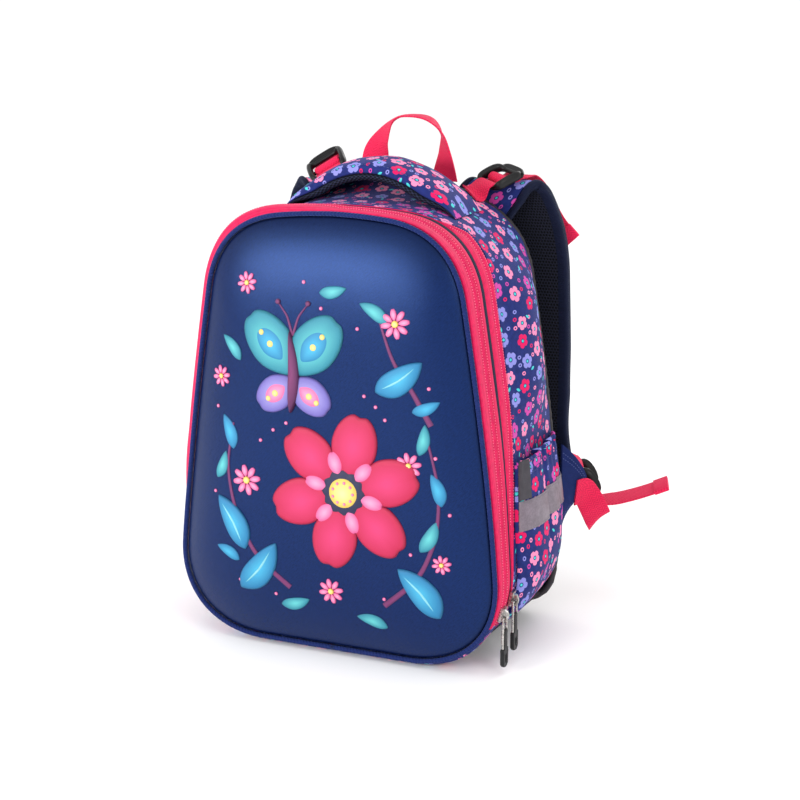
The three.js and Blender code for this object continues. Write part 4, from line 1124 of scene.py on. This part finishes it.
def side_pocket(label, side):
    folds = [np.linspace(at - 0.012, at + 0.012, 9) for at, _ in PLEATS]
    u = np.unique(np.concatenate([np.linspace(0, 1, 121), *folds]))
    v = np.linspace(0, 1, 61)
    top = POCKET["mouth"] + 3 * smooth(0.1, 0.9, u)
    U, V = np.meshgrid(u, v)
    Z = POCKET["low"] + (top[None] - POCKET["low"]) * V
    outer = pocket_point(side, U, Z, POCKET["cloth"] + 0.25 * ripple(U * 110, Z) * V)
    inner = pocket_point(side, U, Z, 0.0)
    run = np.linalg.norm(np.diff(outer, axis=1), axis=2)
    across = np.concatenate([np.zeros((len(v), 1)), np.cumsum(run, 1)], 1)
    uv = np.stack([across + (400 if side > 0 else 700), Z], -1)
    made = piece(f"side_pocket_{label}_cloth", [shell(outer, inner, uv)], FLORAL,
                 [f"side_pocket_{label}"])
    turn = circle(10)
    line = pocket_point(side, u, top - 0.6, POCKET["cloth"] / 2)
    out = unit(np.array([side * 1.0, 0, 0.25]))
    up = np.array([0, 0, 1.0])
    hem = [[p + 1.7 * cos(a) * out + 2.6 * sin(a) * up for a in turn] for p in line]
    hem_uv = [[(400 + d, 200 + 2 * a) for a in turn] for d in lengths(line)]
    piece(f"pocket_hem_{label}", [loft(hem, uv=hem_uv)], FLORAL)
    runs = []
    for drop in (7.0, 10.0):
        line = pocket_point(side, u, top - drop, POCKET["cloth"] + 0.3)
        runs.append(stitches(line, out, 2.6, 1.8))
    piece(f"pocket_thread_{label}", runs, THREAD["navy"])
    U, Z = np.meshgrid(u[1:-1], np.linspace(*BAND, 9))
    swell = 0.25 * np.sin(np.linspace(0, pi, 9))[:, None]
    outer = pocket_point(side, U, Z, POCKET["cloth"] + 1.1 + swell)
    inner = pocket_point(side, U, Z, POCKET["cloth"] + 0.4)
    tape = shell(outer, inner, np.stack([U * 130, Z], -1))
    piece(f"pocket_band_{label}_tape", [tape], SILVER, [f"pocket_band_{label}"])
    runs = []
    for z in (BAND[0] + 1.6, BAND[1] - 1.6):
        line = pocket_point(side, u[2:-2], np.full(len(u) - 4, z), POCKET["cloth"] + 1.2)
        runs.append(stitches(line, out, 3.0, 2.0))
    piece(f"band_thread_{label}", runs, THREAD["grey"])


def pocket_label():
    U, Z = np.meshgrid(np.linspace(0.004, 0.115, 13), np.linspace(138, 169, 17))
    outer = pocket_point(1, U, Z, POCKET["cloth"] + 1.5)
    inner = pocket_point(1, U, Z, POCKET["cloth"] + 0.6)
    cloth = shell(outer, inner, np.stack([U * 110, Z], -1))
    piece("pocket_label_cloth", [cloth], LABEL, ["pocket_label"])


# Grip


def closed_curve(points, n):
    """Smooth closed line through points."""
    points = np.asarray(points, float)
    m = len(points)
    out = []
    for t in np.linspace(0, m, n, endpoint=False):
        i = int(t)
        w = t - i
        p = [points[(i + k) % m] for k in (-1, 0, 1, 2)]
        out.append(0.5 * ((2 * p[1]) + (p[2] - p[0]) * w + (2 * p[0] - 5 * p[1] + 4 * p[2] - p[3]) * w * w
                          + (3 * p[1] - p[0] - 3 * p[2] + p[3]) * w ** 3))
    return np.array(out)


def grip_at(x):
    """How far the grip has run out at its end, its height, slope and fullness."""
    foot = float(smooth(52, GRIP["end"], abs(x)))
    z = GRIP["ridge"] - GRIP["sag"] * x * x - GRIP["foot"] * foot
    return foot, z, math.atan(-2 * GRIP["sag"] * x), mix(1, GRIP["taper"], foot)


def grip_band(name, profile, look, node):
    """One layer of the grip: a section swept along its arch, closed to thin ends."""
    section = closed_curve(profile, 48)
    rows, uv = [], []
    for x in np.linspace(-GRIP["end"], GRIP["end"], 97):
        foot, z, slope, full = grip_at(x)
        thin = 0.85 * float(smooth(68, 82, abs(x)))
        z -= GRIP_DEEP * full * thin + 2.2 * float(smooth(70, 82, abs(x)))
        full *= 1 - thin
        crease = 0.35 * sin(x / 7.5 + sin(x / 19)) * (1 - foot)
        rows.append([(x + full * down * sin(slope), GRIP["mid"] + across * GRIP["half"],
                      z - full * (down - crease * (down < 6)) * cos(slope)) for across, down in section])
        ring = lengths(np.stack([section[:, 0] * GRIP["half"], section[:, 1]], -1))
        uv.append([(x + 40, r) for r in ring])
    piece(name, [loft(rows, uv=uv)], look, [node])


def grip():
    pad, rim = 8.2, 16
    top = [(-0.96, 11.8), (-1.01, 9), (-0.9, 4.2), (-0.5, 1.1), (0, 0), (0.5, 1.1), (0.86, 3.6), (0.99, 6.6),
           (0.97, 8.4), (0.5, pad), (0, pad), (-0.5, pad)]
    under = [(-0.96, 12.2), (-0.7, pad + 0.6), (0, pad + 0.5), (0.7, pad + 0.6), (0.985, 9.2), (1.0, 12),
             (0.97, 15), (0.84, 13.6), (0.5, GRIP_DEEP), (0, GRIP_DEEP), (-0.5, GRIP_DEEP),
             (-0.82, rim - 0.6), (-0.93, rim + 1.7), (-1.05, 14.6)]
    grip_band("grip_handle_pad", top, FLORAL, "grip_handle")
    grip_band("grip_lining_knit", under, KNIT, "grip_lining")
    runs = []
    for across in (-0.93, 0.93):
        line, out = [], []
        for x in np.linspace(-68, 68, 110):
            _, z, slope, full = grip_at(x)
            line.append((x + full * 4.7 * sin(slope), GRIP["mid"] + across * GRIP["half"],
                         z - full * 4.7 * cos(slope)))
            out.append((0, across * 0.7, 0.7))
        runs.append(stitches(line, out))
    piece("grip_thread", runs, THREAD["navy"])


# Webbing


def curve(points, t):
    """Centripetal curve through points, as the solids have it."""
    pts = np.asarray(points, float)
    n = len(pts)
    out = []
    for v in np.atleast_1d(t):
        f = (n - 1) * v
        i = int(min(n - 2, math.floor(f)))
        w = f - i
        p1, p2 = pts[i], pts[i + 1]
        p0 = pts[i - 1] if i > 0 else 2 * pts[0] - pts[1]
        p3 = pts[i + 2] if i + 2 < n else 2 * pts[-1] - pts[-2]
        d0, d1, d2 = (max(np.sum((a - b) ** 2) ** 0.25, 1e-4) for a, b in ((p0, p1), (p1, p2), (p2, p3)))
        t1 = ((p1 - p0) / d0 - (p2 - p0) / (d0 + d1) + (p2 - p1) / d1) * d1
        t2 = ((p2 - p1) / d1 - (p3 - p1) / (d1 + d2) + (p3 - p2) / d2) * d1
        c2, c3 = -3 * p1 + 3 * p2 - 2 * t1 - t2, 2 * p1 - 2 * p2 + t1 + t2
        out.append(p1 + t1 * w + c2 * w * w + c3 * w ** 3)
    return np.array(out)


def tangent(points, t):
    """Direction along a curve."""
    e = 1e-4
    return unit(curve(points, np.clip(t + e, 0, 1)) - curve(points, np.clip(t - e, 0, 1)))


def flip(side, points):
    """A right-hand point list, or its mirror image for the left."""
    points = np.array(points, float)
    if side < 0:
        points[..., 0] *= -1
    return points


WEB_SECTION = (  # shares of the width and thickness
    (-0.5, 0), (-0.485, 0.4), (-0.46, 0.5), (-0.3, 0.46), (-0.1, 0.5), (0.1, 0.5), (0.3, 0.46), (0.46, 0.5),
    (0.485, 0.4), (0.5, 0), (0.485, -0.4), (0.46, -0.5), (0, -0.5), (-0.46, -0.5), (-0.485, -0.4),
)


def ribbon(rows, steps, side=1, wide=WEB, thick=WEB_THICK):
    """Flat webbing through (place, width direction) rows."""
    at, lean = [r[0] for r in rows], [r[1] for r in rows]
    t = np.linspace(0, 1, steps)
    p, along = curve(at, t), tangent(at, t)
    across = unit(curve(lean, t))
    across = unit(across - along * np.sum(across * along, 1)[:, None])
    up = np.cross(along, across)
    run = lengths(p)
    rings = [[p[i] + across[i] * a * wide + up[i] * b * thick for a, b in WEB_SECTION] for i in range(steps)]
    uv = [[(a * wide + 50, run[i]) for a, _ in WEB_SECTION] for i in range(steps)]
    return loft(flip(side, rings), uv=uv)


def top_height(x, y):
    """Height of the body's top."""
    turn = np.interp(-abs(x), -OX[2000:], SHARE[2000:]) / 2
    return float(wrap(turn if x >= 0 else 1 - turn, y)[2])


class Lock:
    """A ladder buckle's own frame: along the webbing, up from its face, and across it."""

    def __init__(self, middle, along, across):
        self.middle = np.array(middle, float)
        self.along = unit(along)
        across = np.array(across, float)
        self.across = unit(across - self.along * across.dot(self.along))
        self.up = np.cross(self.across, self.along)

    def point(self, a, u, c=0.0):
        return self.middle + self.along * a + self.up * u + self.across * c

    def through(self, rows):
        return [(self.point(a, u), self.across) for a, u in rows]


UPPER = {1: Lock((79.6, 94.5, 388), (0.6, 0.7, 0.38), (0.78, -0.6, -0.13)),
         -1: Lock((86, 94.5, 393), (0.55, 0.72, 0.42), (0.8, -0.3, -0.52))}
LOWER = Lock((152.4, 137, 114), (0.5, 0.2, -0.85), (0.35, -0.93, 0))
LOCK_WIDE, LOCK_REACH, LIP_HALF = 37, 13, 17


def buckle(name, lock, side, node, arch=1.0):
    """Three-bar adjuster: a rounded frame with swelling cheeks and a lip, and a bar across the middle."""
    n = 96
    a = circle(n)
    half = LOCK_WIDE / 2 - 2.2
    plan_a, plan_c = squared(np.cos(a), 0.42) * (LOCK_REACH + 0.6), squared(np.sin(a), 0.42) * half
    side_share = smooth(0.55, 0.95, np.abs(plan_c) / half)
    swell = np.sqrt(1 - (plan_a / (LOCK_REACH + 2)) ** 2)
    bow = side_share * 3.0 * arch * swell
    high = 2.2 + side_share * (0.6 + 1.9 * swell) * arch
    path = np.stack([plan_a, bow, plan_c], -1)
    way = unit(np.roll(path, -1, 0) - np.roll(path, 1, 0))
    out = unit(np.cross(way, np.array([0, 1.0, 0])))
    ring = circle(12)
    local = [[path[i] + out[i] * 2.5 * cos(r) + np.array([0, high[i] * sin(r), 0]) for r in ring]
             for i in range(n)]
    bar = [[(2 * cos(q), 1.8 * sin(q), v) for q in ring]
           for v in np.linspace(-LOCK_WIDE / 2 + 2, LOCK_WIDE / 2 - 2, 12)]
    lip = []
    for v in np.linspace(-1, 1, 25):
        edge = 1 - abs(v) ** 4
        tip = LOCK_REACH + 2.2 + 3.4 * edge
        lip.append([(a, u, v * LIP_HALF) for a, u in (
            (LOCK_REACH - 0.5, -1.4), (tip - 1, 0.2 + 1.4 * edge), (tip, 1.6 + 1.8 * edge),
            (tip - 0.9, 2.6 + 1.8 * edge), (LOCK_REACH + 0.6, 1.6), (LOCK_REACH - 1.2, 1.2))])
    made = []
    for i, grid in enumerate((np.array(local), np.array(bar), np.array(lip))):
        a, u, c = np.split(grid, 3, axis=-1)
        made.append(loft(flip(side, lock.point(a, u, c)), closed=i == 0))
    piece(name, made, PLASTIC, [node])


HANG = (  # place, width direction
    ((-34, 81.6, top_height(-34, BACK) + 2), (0.98, 0, 0.19)), ((-33, 82, 404), (1, 0, 0.2)),
    ((-26, 82, 422), (0.8, -0.6, 0)), ((-13, 83, 438), (0.3, -0.95, 0)), ((3, 83, 441), (0.05, -1, 0)),
    ((18, 83, 438), (0.15, -1, 0)), ((29, 82, 427), (0.4, -0.9, 0)), ((33, 81, 410), (0.7, -0.7, 0)),
    ((33, 81.6, top_height(33, BACK) + 1.9), (0.97, -0.06, -0.23)),
)
LIFTER_END = (
    ((94, 120, 388.5), (0.85, -0.35, 0.1)), ((100, 127, 379), (0.9, -0.2, 0.2)),
    ((108, 130, 361), (0.85, 0, 0.5)), ((119, 131, 343), (0.8, 0, 0.6)), ((132, 132, 329), (0.75, 0, 0.65)),
)
LOWER_START = (
    ((155.7, 94.3, 112), (0.3, 0.25, 0.9)), ((160.2, 101.9, 112), (0.35, 0.3, 0.88)),
    ((163, 107, 106), (0.4, 0.3, 0.85)), ((168, 112, 93), (0.5, 0.2, 0.82)), ((170, 118, 83), (0.6, 0, 0.75)),
    ((166, 125, 81), (0.7, -0.3, 0.6)), ((159, 132, 90), (0.6, -0.7, 0.3)),
)
LOWER_END = {
    1: (((176, 142, 95.5), (0.3, -0.94, -0.15)), ((190, 146, 99), (0.33, -0.93, -0.14)),
        ((207, 151, 105), (0.34, -0.93, -0.13)), ((224, 155, 112.5), (0.34, -0.93, -0.13))),
    -1: (((164, 144, 82), (0.35, -0.93, 0)), ((165, 145, 64), (0.35, -0.93, 0)),
         ((163, 146, 44), (0.35, -0.93, 0)), ((162, 146, 24), (0.35, -0.93, 0))),
}


def webbing(label, side):
    lock = UPPER[side]
    anchor = [((61, 70, top_height(side * 61, 70) + 2.8), (0.82, -0.3, -0.5)),
              ((63.5, 74.5, top_height(side * 63.5, 74.5) + 2.8), (0.82, -0.36, -0.45)),
              *lock.through(((-18, 3), (-13, 3.4), (-9.4, 1.6), (-8.6, -2.6)))]
    lifter = [*lock.through((
        (-4.6, -3), (-3.6, 1.4), (0, 3.2), (3.6, 1.4), (5.6, -2.4), (10, -4.2), (15, -4))), *LIFTER_END]
    loop = [((117, 125.6, 158), (0.95, 0, 0.3)), ((120.5, 126.4, 151), (0.95, -0.08, 0.3)),
            ((126, 130.5, 145.5), (0.88, -0.32, 0.25)), ((133, 134, 140), (0.62, -0.75, 0.1)),
            *LOWER.through(((-20, 2.6), (-17, 3.4), (-13, 3.5), (-9.4, 1.6), (-8.6, -2.6)))]
    lower = [*LOWER_START, *LOWER.through((
        (10, -10.5), (2, -10), (-4, -8), (-6.4, -3), (-4.4, 1.4), (0, 3.2), (3.6, 1.4), (5.6, -2.4),
        (10, -4.4), (15, -4.6), (20, -4))), *LOWER_END[side]]
    for name, rows, steps in (("lifter_anchor", anchor, 60), ("lifter_webbing", lifter, 120),
                              ("strap_loop", loop, 80), ("lower_webbing", lower, 200)):
        parts = [ribbon(rows, steps, side)]
        if name in ("lifter_webbing", "lower_webbing"):
            tail = rows[-1]
            ahead = unit(np.subtract(rows[-1][0], rows[-2][0]))
            over = [(np.array(tail[0]) + ahead * off, tail[1]) for off in (-13, -6, 0.3)]
            parts.append(ribbon(over, 14, side, WEB + 0.6, 3.8))
        piece(f"{name}_{label}_web", parts, PINK_WEB, [f"{name}_{label}"])
    buckle(f"lifter_buckle_{label}_frame", lock, side, f"lifter_buckle_{label}")
    buckle(f"lower_buckle_{label}_frame", LOWER, side, f"lower_buckle_{label}", 1.5)


def hang_loop():
    piece("hang_loop_web", [ribbon(HANG, 160)], PINK_WEB, ["hang_loop"])


TAB = (  # place, width direction, width
    ((145.5, 81.8, 117.5), (0, 0, 1), 83), ((151, 90, 116), (0.15, 0.12, 0.95), 58),
    ((157, 101, 113), (0.35, 0.3, 0.88), 27),
)


def anchor_tab(label, side):
    """Folded navy tab, narrowing from the back seam to the webbing, sewn near its edges."""
    t = np.linspace(0, 1, 25)
    at = curve([r[0] for r in TAB], t)
    across = unit(curve([r[1] for r in TAB], t))
    wide = np.interp(t, (0, 0.5, 1), [r[2] for r in TAB])
    n = unit(np.array([0.83, -0.52, 0]))
    w = np.linspace(-0.5, 0.5, 21)
    grid = at[:, None] + across[:, None] * (w[None, :] * wide[:, None])[..., None]
    puff = 0.35 * np.cos(w * pi)[None, :, None]
    outer, inner = grid + n * (1.0 + puff), grid - n * (1.0 + puff)
    uv = np.stack(np.broadcast_arrays(w[None] * wide[:, None], t[:, None] * 26), -1)
    piece(f"anchor_tab_{label}_cloth", [shell(flip(side, outer), flip(side, inner), uv)], TAB_CLOTH,
          [f"anchor_tab_{label}"])
    runs = []
    for edge in (0.09, 0.15, 0.85, 0.91):
        line = at + across * ((edge - 0.5) * wide)[:, None] + n * 1.2
        runs.append(stitches(flip(side, line), flip(side, n), 2.8, 2.0))
    piece(f"tab_thread_{label}", runs, THREAD["navy"])


# Shoulder straps

STRAP = (  # x, y, z, width, thickness, share of the lean
    (46, 0, 326, 60, 6, 0), (56, 0, 348, 63, 6, 0), (68, 95, 368, 66, 6, 0.3), (75, 99.5, 380.5, 66, 6, 0.7),
    (80, 106, 384, 66, 6, 1), (86, 112, 379, 66, 6, 1), (92, 116, 366, 66, 7, 1), (99, 118, 345, 66, 8, 0.8),
    (104, 119, 318, 65, 8, 0.5), (107, 119, 280, 63, 8, 0.25), (110, 119, 240, 60, 8, 0.1),
    (113, 119, 195, 55, 8, 0),
    (118, 119, 158, 45, 7, 0), (130, 120, 122, 33, 6, 0),
)
STRAP_ACROSS = [(1, 0, 0)] * 11 + [(1, 0, 0.05), (0.97, 0, 0.2), (0.86, 0, 0.5)]
SPLAY = {1: (0, 0), -1: (9, 6)}  # how far each strap leans outward and down


def back_face(x, z):
    """Depth of the back at a place, without the sewn lines."""
    s = np.linspace(0, 0.5, 3000)
    p = back_rim(s)
    e = back_rim(np.interp(math.atan2(x, PANEL_C - z), np.arctan2(p[:, 0], PANEL_C - p[:, 2]), s))
    k = min(1.0, math.hypot(x, z - PANEL_C) / math.hypot(e[0], e[2] - PANEL_C))
    return float(back_depth(x, z, k, 0.0))


def strap(label, side):
    """A shoulder strap: padded top, mesh lining, and binding round its edge."""
    out, down = SPLAY[side]
    rows = [list(r) for r in STRAP]
    for r in rows[:2]:
        r[1] = back_face(r[0], r[2]) + r[4] / 2 + 2.2
    line = [(r[0] + r[5] * out, r[1], r[2] - r[5] * down) for r in rows]
    t = np.linspace(0, 1, 141)
    p, along = curve(line, t), tangent(line, t)
    across = unit(curve(STRAP_ACROSS, t))
    up = unit(np.cross(across, along))
    wide, thick = (np.interp(t, np.linspace(0, 1, len(rows)), [r[k] for r in rows]) for k in (3, 4))
    run = lengths(p)

    def body(section):
        rings, uv = [], []
        for i in range(len(t)):
            row = section(i)
            rings.append([p[i] + across[i] * a + up[i] * u for a, u in row])
            uv.append([(a + 200 + 300 * side, run[i]) for a, _ in row])
        return loft(flip(side, rings), uv=uv)

    def core(i):
        a, h = wide[i] / 2 - 2 * BIND - 0.5, thick[i] / 2
        tops = [(k * a, h * (0.82 + 0.3 * (1 - k ** 4))) for k in np.linspace(1, -1, 15)]
        return [(-a, -h * 0.9), (0, -h), (a, -h * 0.9), *tops]

    def lining(i):
        a, top = wide[i] / 2 - BIND, -thick[i] / 2 - 0.3
        lows = [(k * a, top - LINING * (0.75 + 0.35 * (1 - k ** 4))) for k in np.linspace(-1, 1, 15)]
        return [*lows, (a, top), (0, top), (-a, top)]

    made = piece(f"shoulder_strap_{label}_pad", [body(core)], FLORAL,
                 [f"shoulder_strap_{label}"])
    made = piece(f"strap_lining_{label}_mesh", [body(lining)], MESH, [f"strap_lining_{label}"])
    ring = circle(16)
    rings, uv = [], []
    for way in (1, -1):
        order = range(len(t)) if way > 0 else range(len(t) - 1, -1, -1)
        for i in order:
            end = i == len(t) - 1
            mid = p[i] + (along[i] * (BIND + 0.3) if end else 0)
            spread = across[i] * way + (along[i] if end else 0)
            low, high = -thick[i] / 2 - LINING - 0.6, thick[i] / 2 + 0.6
            centre, tall = (low + high) / 2, (high - low) / 2
            edge = way * (wide[i] / 2 - BIND)
            fold = -way * across[i] * 4.5
            rings.append([mid + across[i] * edge + spread * BIND * squared(c, 0.8)
                          + up[i] * (centre + tall * squared(s, 0.7))
                          + fold * (max(0.0, -s) * max(0.0, -c) * 2) ** 0.5
                          for c, s in zip(np.cos(ring), np.sin(ring))])
            uv.append([(run[i] + (0 if way > 0 else 900), a * BIND) for a in ring])
    piece(f"strap_binding_{label}_tape", [loft(flip(side, rings), uv=uv)], BINDING,
          [f"strap_binding_{label}"])


# Zip pulls


ROPE_AT, ROPE_PITCH = 4.35, 3.4  # the pull's twisted rails: distance from its middle, and their twist
SLIDER_ROUND = 0.0006  # metres


def pulls():
    for key in ("front", "main"):
        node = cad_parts[f"slider_{key}"]
        slider = new_object(f"slider_{key}_body", node.data.copy())
        slider.data.materials.clear()
        slider.data.materials.append(METAL)
        bevel = slider.modifiers.new("round", "BEVEL")
        bevel.width, bevel.segments, bevel.limit_method = SLIDER_ROUND, 3, "ANGLE"
        take(slider, PACK, [f"slider_{key}"])
        low, high = (np.array(v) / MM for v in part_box(f"pull_frame_{key}"))
        pin = np.array([(low[0] + high[0]) / 2, (low[1] + high[1]) / 2, high[2] - 1])
        body = f"pull_{key}"
        ring = circle(8)
        bar = [[(r * cos(a), y, r * sin(a)) for a in ring]
               for y, r in ((-5.2, 0.7), (-4.9, 1.0), (4.9, 1.0), (5.2, 0.7))]
        parts = [loft(pin + np.array(bar))]
        for side in (-1, 1):
            rope = []
            for v in np.linspace(0.6, -26, 90):
                r = 1 + 0.22 * np.cos(2 * (ring - 2 * pi * v / ROPE_PITCH))
                rope.append(np.stack([r * np.cos(ring), side * ROPE_AT + 0.86 * r * np.sin(ring),
                                      np.full_like(ring, v)], -1))
            parts.append(loft(pin + np.array(rope)))
        piece(f"pull_frame_{key}_wire", parts, METAL, [f"pull_frame_{key}"], body)
        pull_grip(key, pin, body)


def pull_grip(key, pin, body):
    """Rubber tongue: narrow between the rails, wider below, with an oval hole near the end."""
    inner, outer, low, end, hole = 3.1, 5.7, -26.3, -43, np.array([0, -35.0])
    turn = np.linspace(pi, 2 * pi, 25)
    edge = [(inner, -10.6), (inner, low + 0.6), (inner + 0.6, low), (outer - 0.6, low), (outer, low - 0.6)]
    tip = [(outer * cos(a), end + 5 + 5 * sin(a)) for a in turn]
    rim = np.array([*((-x, z) for x, z in edge), *tip, *edge[::-1], (0, -10)])
    run = lengths(np.vstack([rim, rim[:1]]))
    at = np.linspace(0, run[-1], 97)[:-1]
    rim = np.stack([np.interp(at, run, np.append(rim[:, k], rim[0, k])) for k in (0, 1)], -1)
    angle = np.unwrap(np.arctan2(rim[:, 1] - hole[1], rim[:, 0]))
    eye = np.stack([1.8 * np.cos(angle), 4 * np.sin(angle)], -1)
    inside = rim - unit(np.stack([np.gradient(rim[:, 1]), -np.gradient(rim[:, 0])], -1)) * 0.5
    wide_eye, eye = hole + eye * 1.14, hole + eye
    rows = []
    for shape, x in ((rim, -0.9), (inside, -1.7), (wide_eye, -1.7), (eye, -1.3), (eye, 1.3), (wide_eye, 1.7),
                     (inside, 1.7), (rim, 0.9)):
        rows.append(np.stack([np.full(len(shape), x), shape[:, 0], shape[:, 1]], -1))
    tongue = loft(pin + np.array(rows), closed=True)
    piece(f"pull_grip_{key}_rubber", [tongue], RUBBER, [f"pull_grip_{key}"], body)


# Stage, camera and light


LENS, EYE, LOOK_AT = 72.98, (0.55377, -1.24236, 0.53462), (0.05942, -0.08, 0.22717)  # fitted to the photo
FLOOR_HALF, FLOOR_DROP = 60, 0.0002  # metres
SKY = (0.3, 0.6, 1.06, 0.92)  # heights between which the sky dims, and its strength at each
LAMPS = (  # name, kind, place, size or angle, power
    ("top", "SUN", (0.15, -0.25, 1.5), 0.7, 0.4), ("key", "AREA", (-0.56, -1.3, 0.56), 1.1, 13.5),
    ("right", "AREA", (1.5, -1.1, 0.95), 0.7, 7), ("back", "AREA", (0.6, 2.0, 1.5), 1.2, 14),
)


def aim(made, place, target):
    """Set a lamp or camera in its place, looking at a target."""
    made.location = place
    made.rotation_euler = (Vector(target) - Vector(place)).to_track_quat("-Z", "Y").to_euler()


def stage():
    data = bpy.data.meshes.new("floor")
    corners = [(x * FLOOR_HALF, y * FLOOR_HALF, 0) for x, y in ((-1, -1), (1, -1), (1, 1), (-1, 1))]
    data.from_pydata(corners, [], [(0, 1, 2, 3)])
    floor = new_object("floor", data)
    look = bpy.data.materials.new("floor")
    look.use_nodes = True
    shader = look.node_tree.nodes["Principled BSDF"]
    shader.inputs["Base Color"].default_value = (0.96, 0.96, 0.96, 1)
    shader.inputs["Roughness"].default_value = 0.9
    data.materials.append(look)
    floor.location.z = -FLOOR_DROP
    world = bpy.data.worlds.new("studio")
    world.use_nodes = True
    world.node_tree.nodes["Background"].inputs[0].default_value = (1, 1, 1, 1)
    t = Tree(world.node_tree)
    sky = t.node("ShaderNodeMapRange")
    rise = t.parts(t.node("ShaderNodeTexCoord").outputs["Generated"])[2]
    for socket, value in zip(sky.inputs, (rise, *SKY)):
        t.put(socket, value)
    t.put(world.node_tree.nodes["Background"].inputs[1], sky.outputs[0])
    bpy.context.scene.world = world
    for name, kind, place, size, power in LAMPS:
        lamp = bpy.data.lights.new(name, kind)
        lamp.energy = power
        if kind == "SUN":
            lamp.angle = size
        else:
            lamp.shape, lamp.size, lamp.size_y = "ELLIPSE", size, size / 4 if name == "key" else size
        aim(new_object(name, lamp), place, (0.02, 0, 0.2))


def camera():
    data = bpy.data.cameras.new("photo")
    data.sensor_width, data.lens = 36, LENS
    made = new_object("photo", data)
    aim(made, EYE, LOOK_AT)
    bpy.context.scene.camera = made
    bpy.context.scene.view_settings.view_transform = "Standard"


camera()
stage()
front_panel()
design()
zip_front()
zip_main()
gusset()
body_wall()
base_panel()
back_panel()
grip()
hang_loop()
for label, side in (("right", 1), ("left", -1)):
    strap(label, side)
    webbing(label, side)
    anchor_tab(label, side)
    side_pocket(label, side)
pocket_label()
pulls()
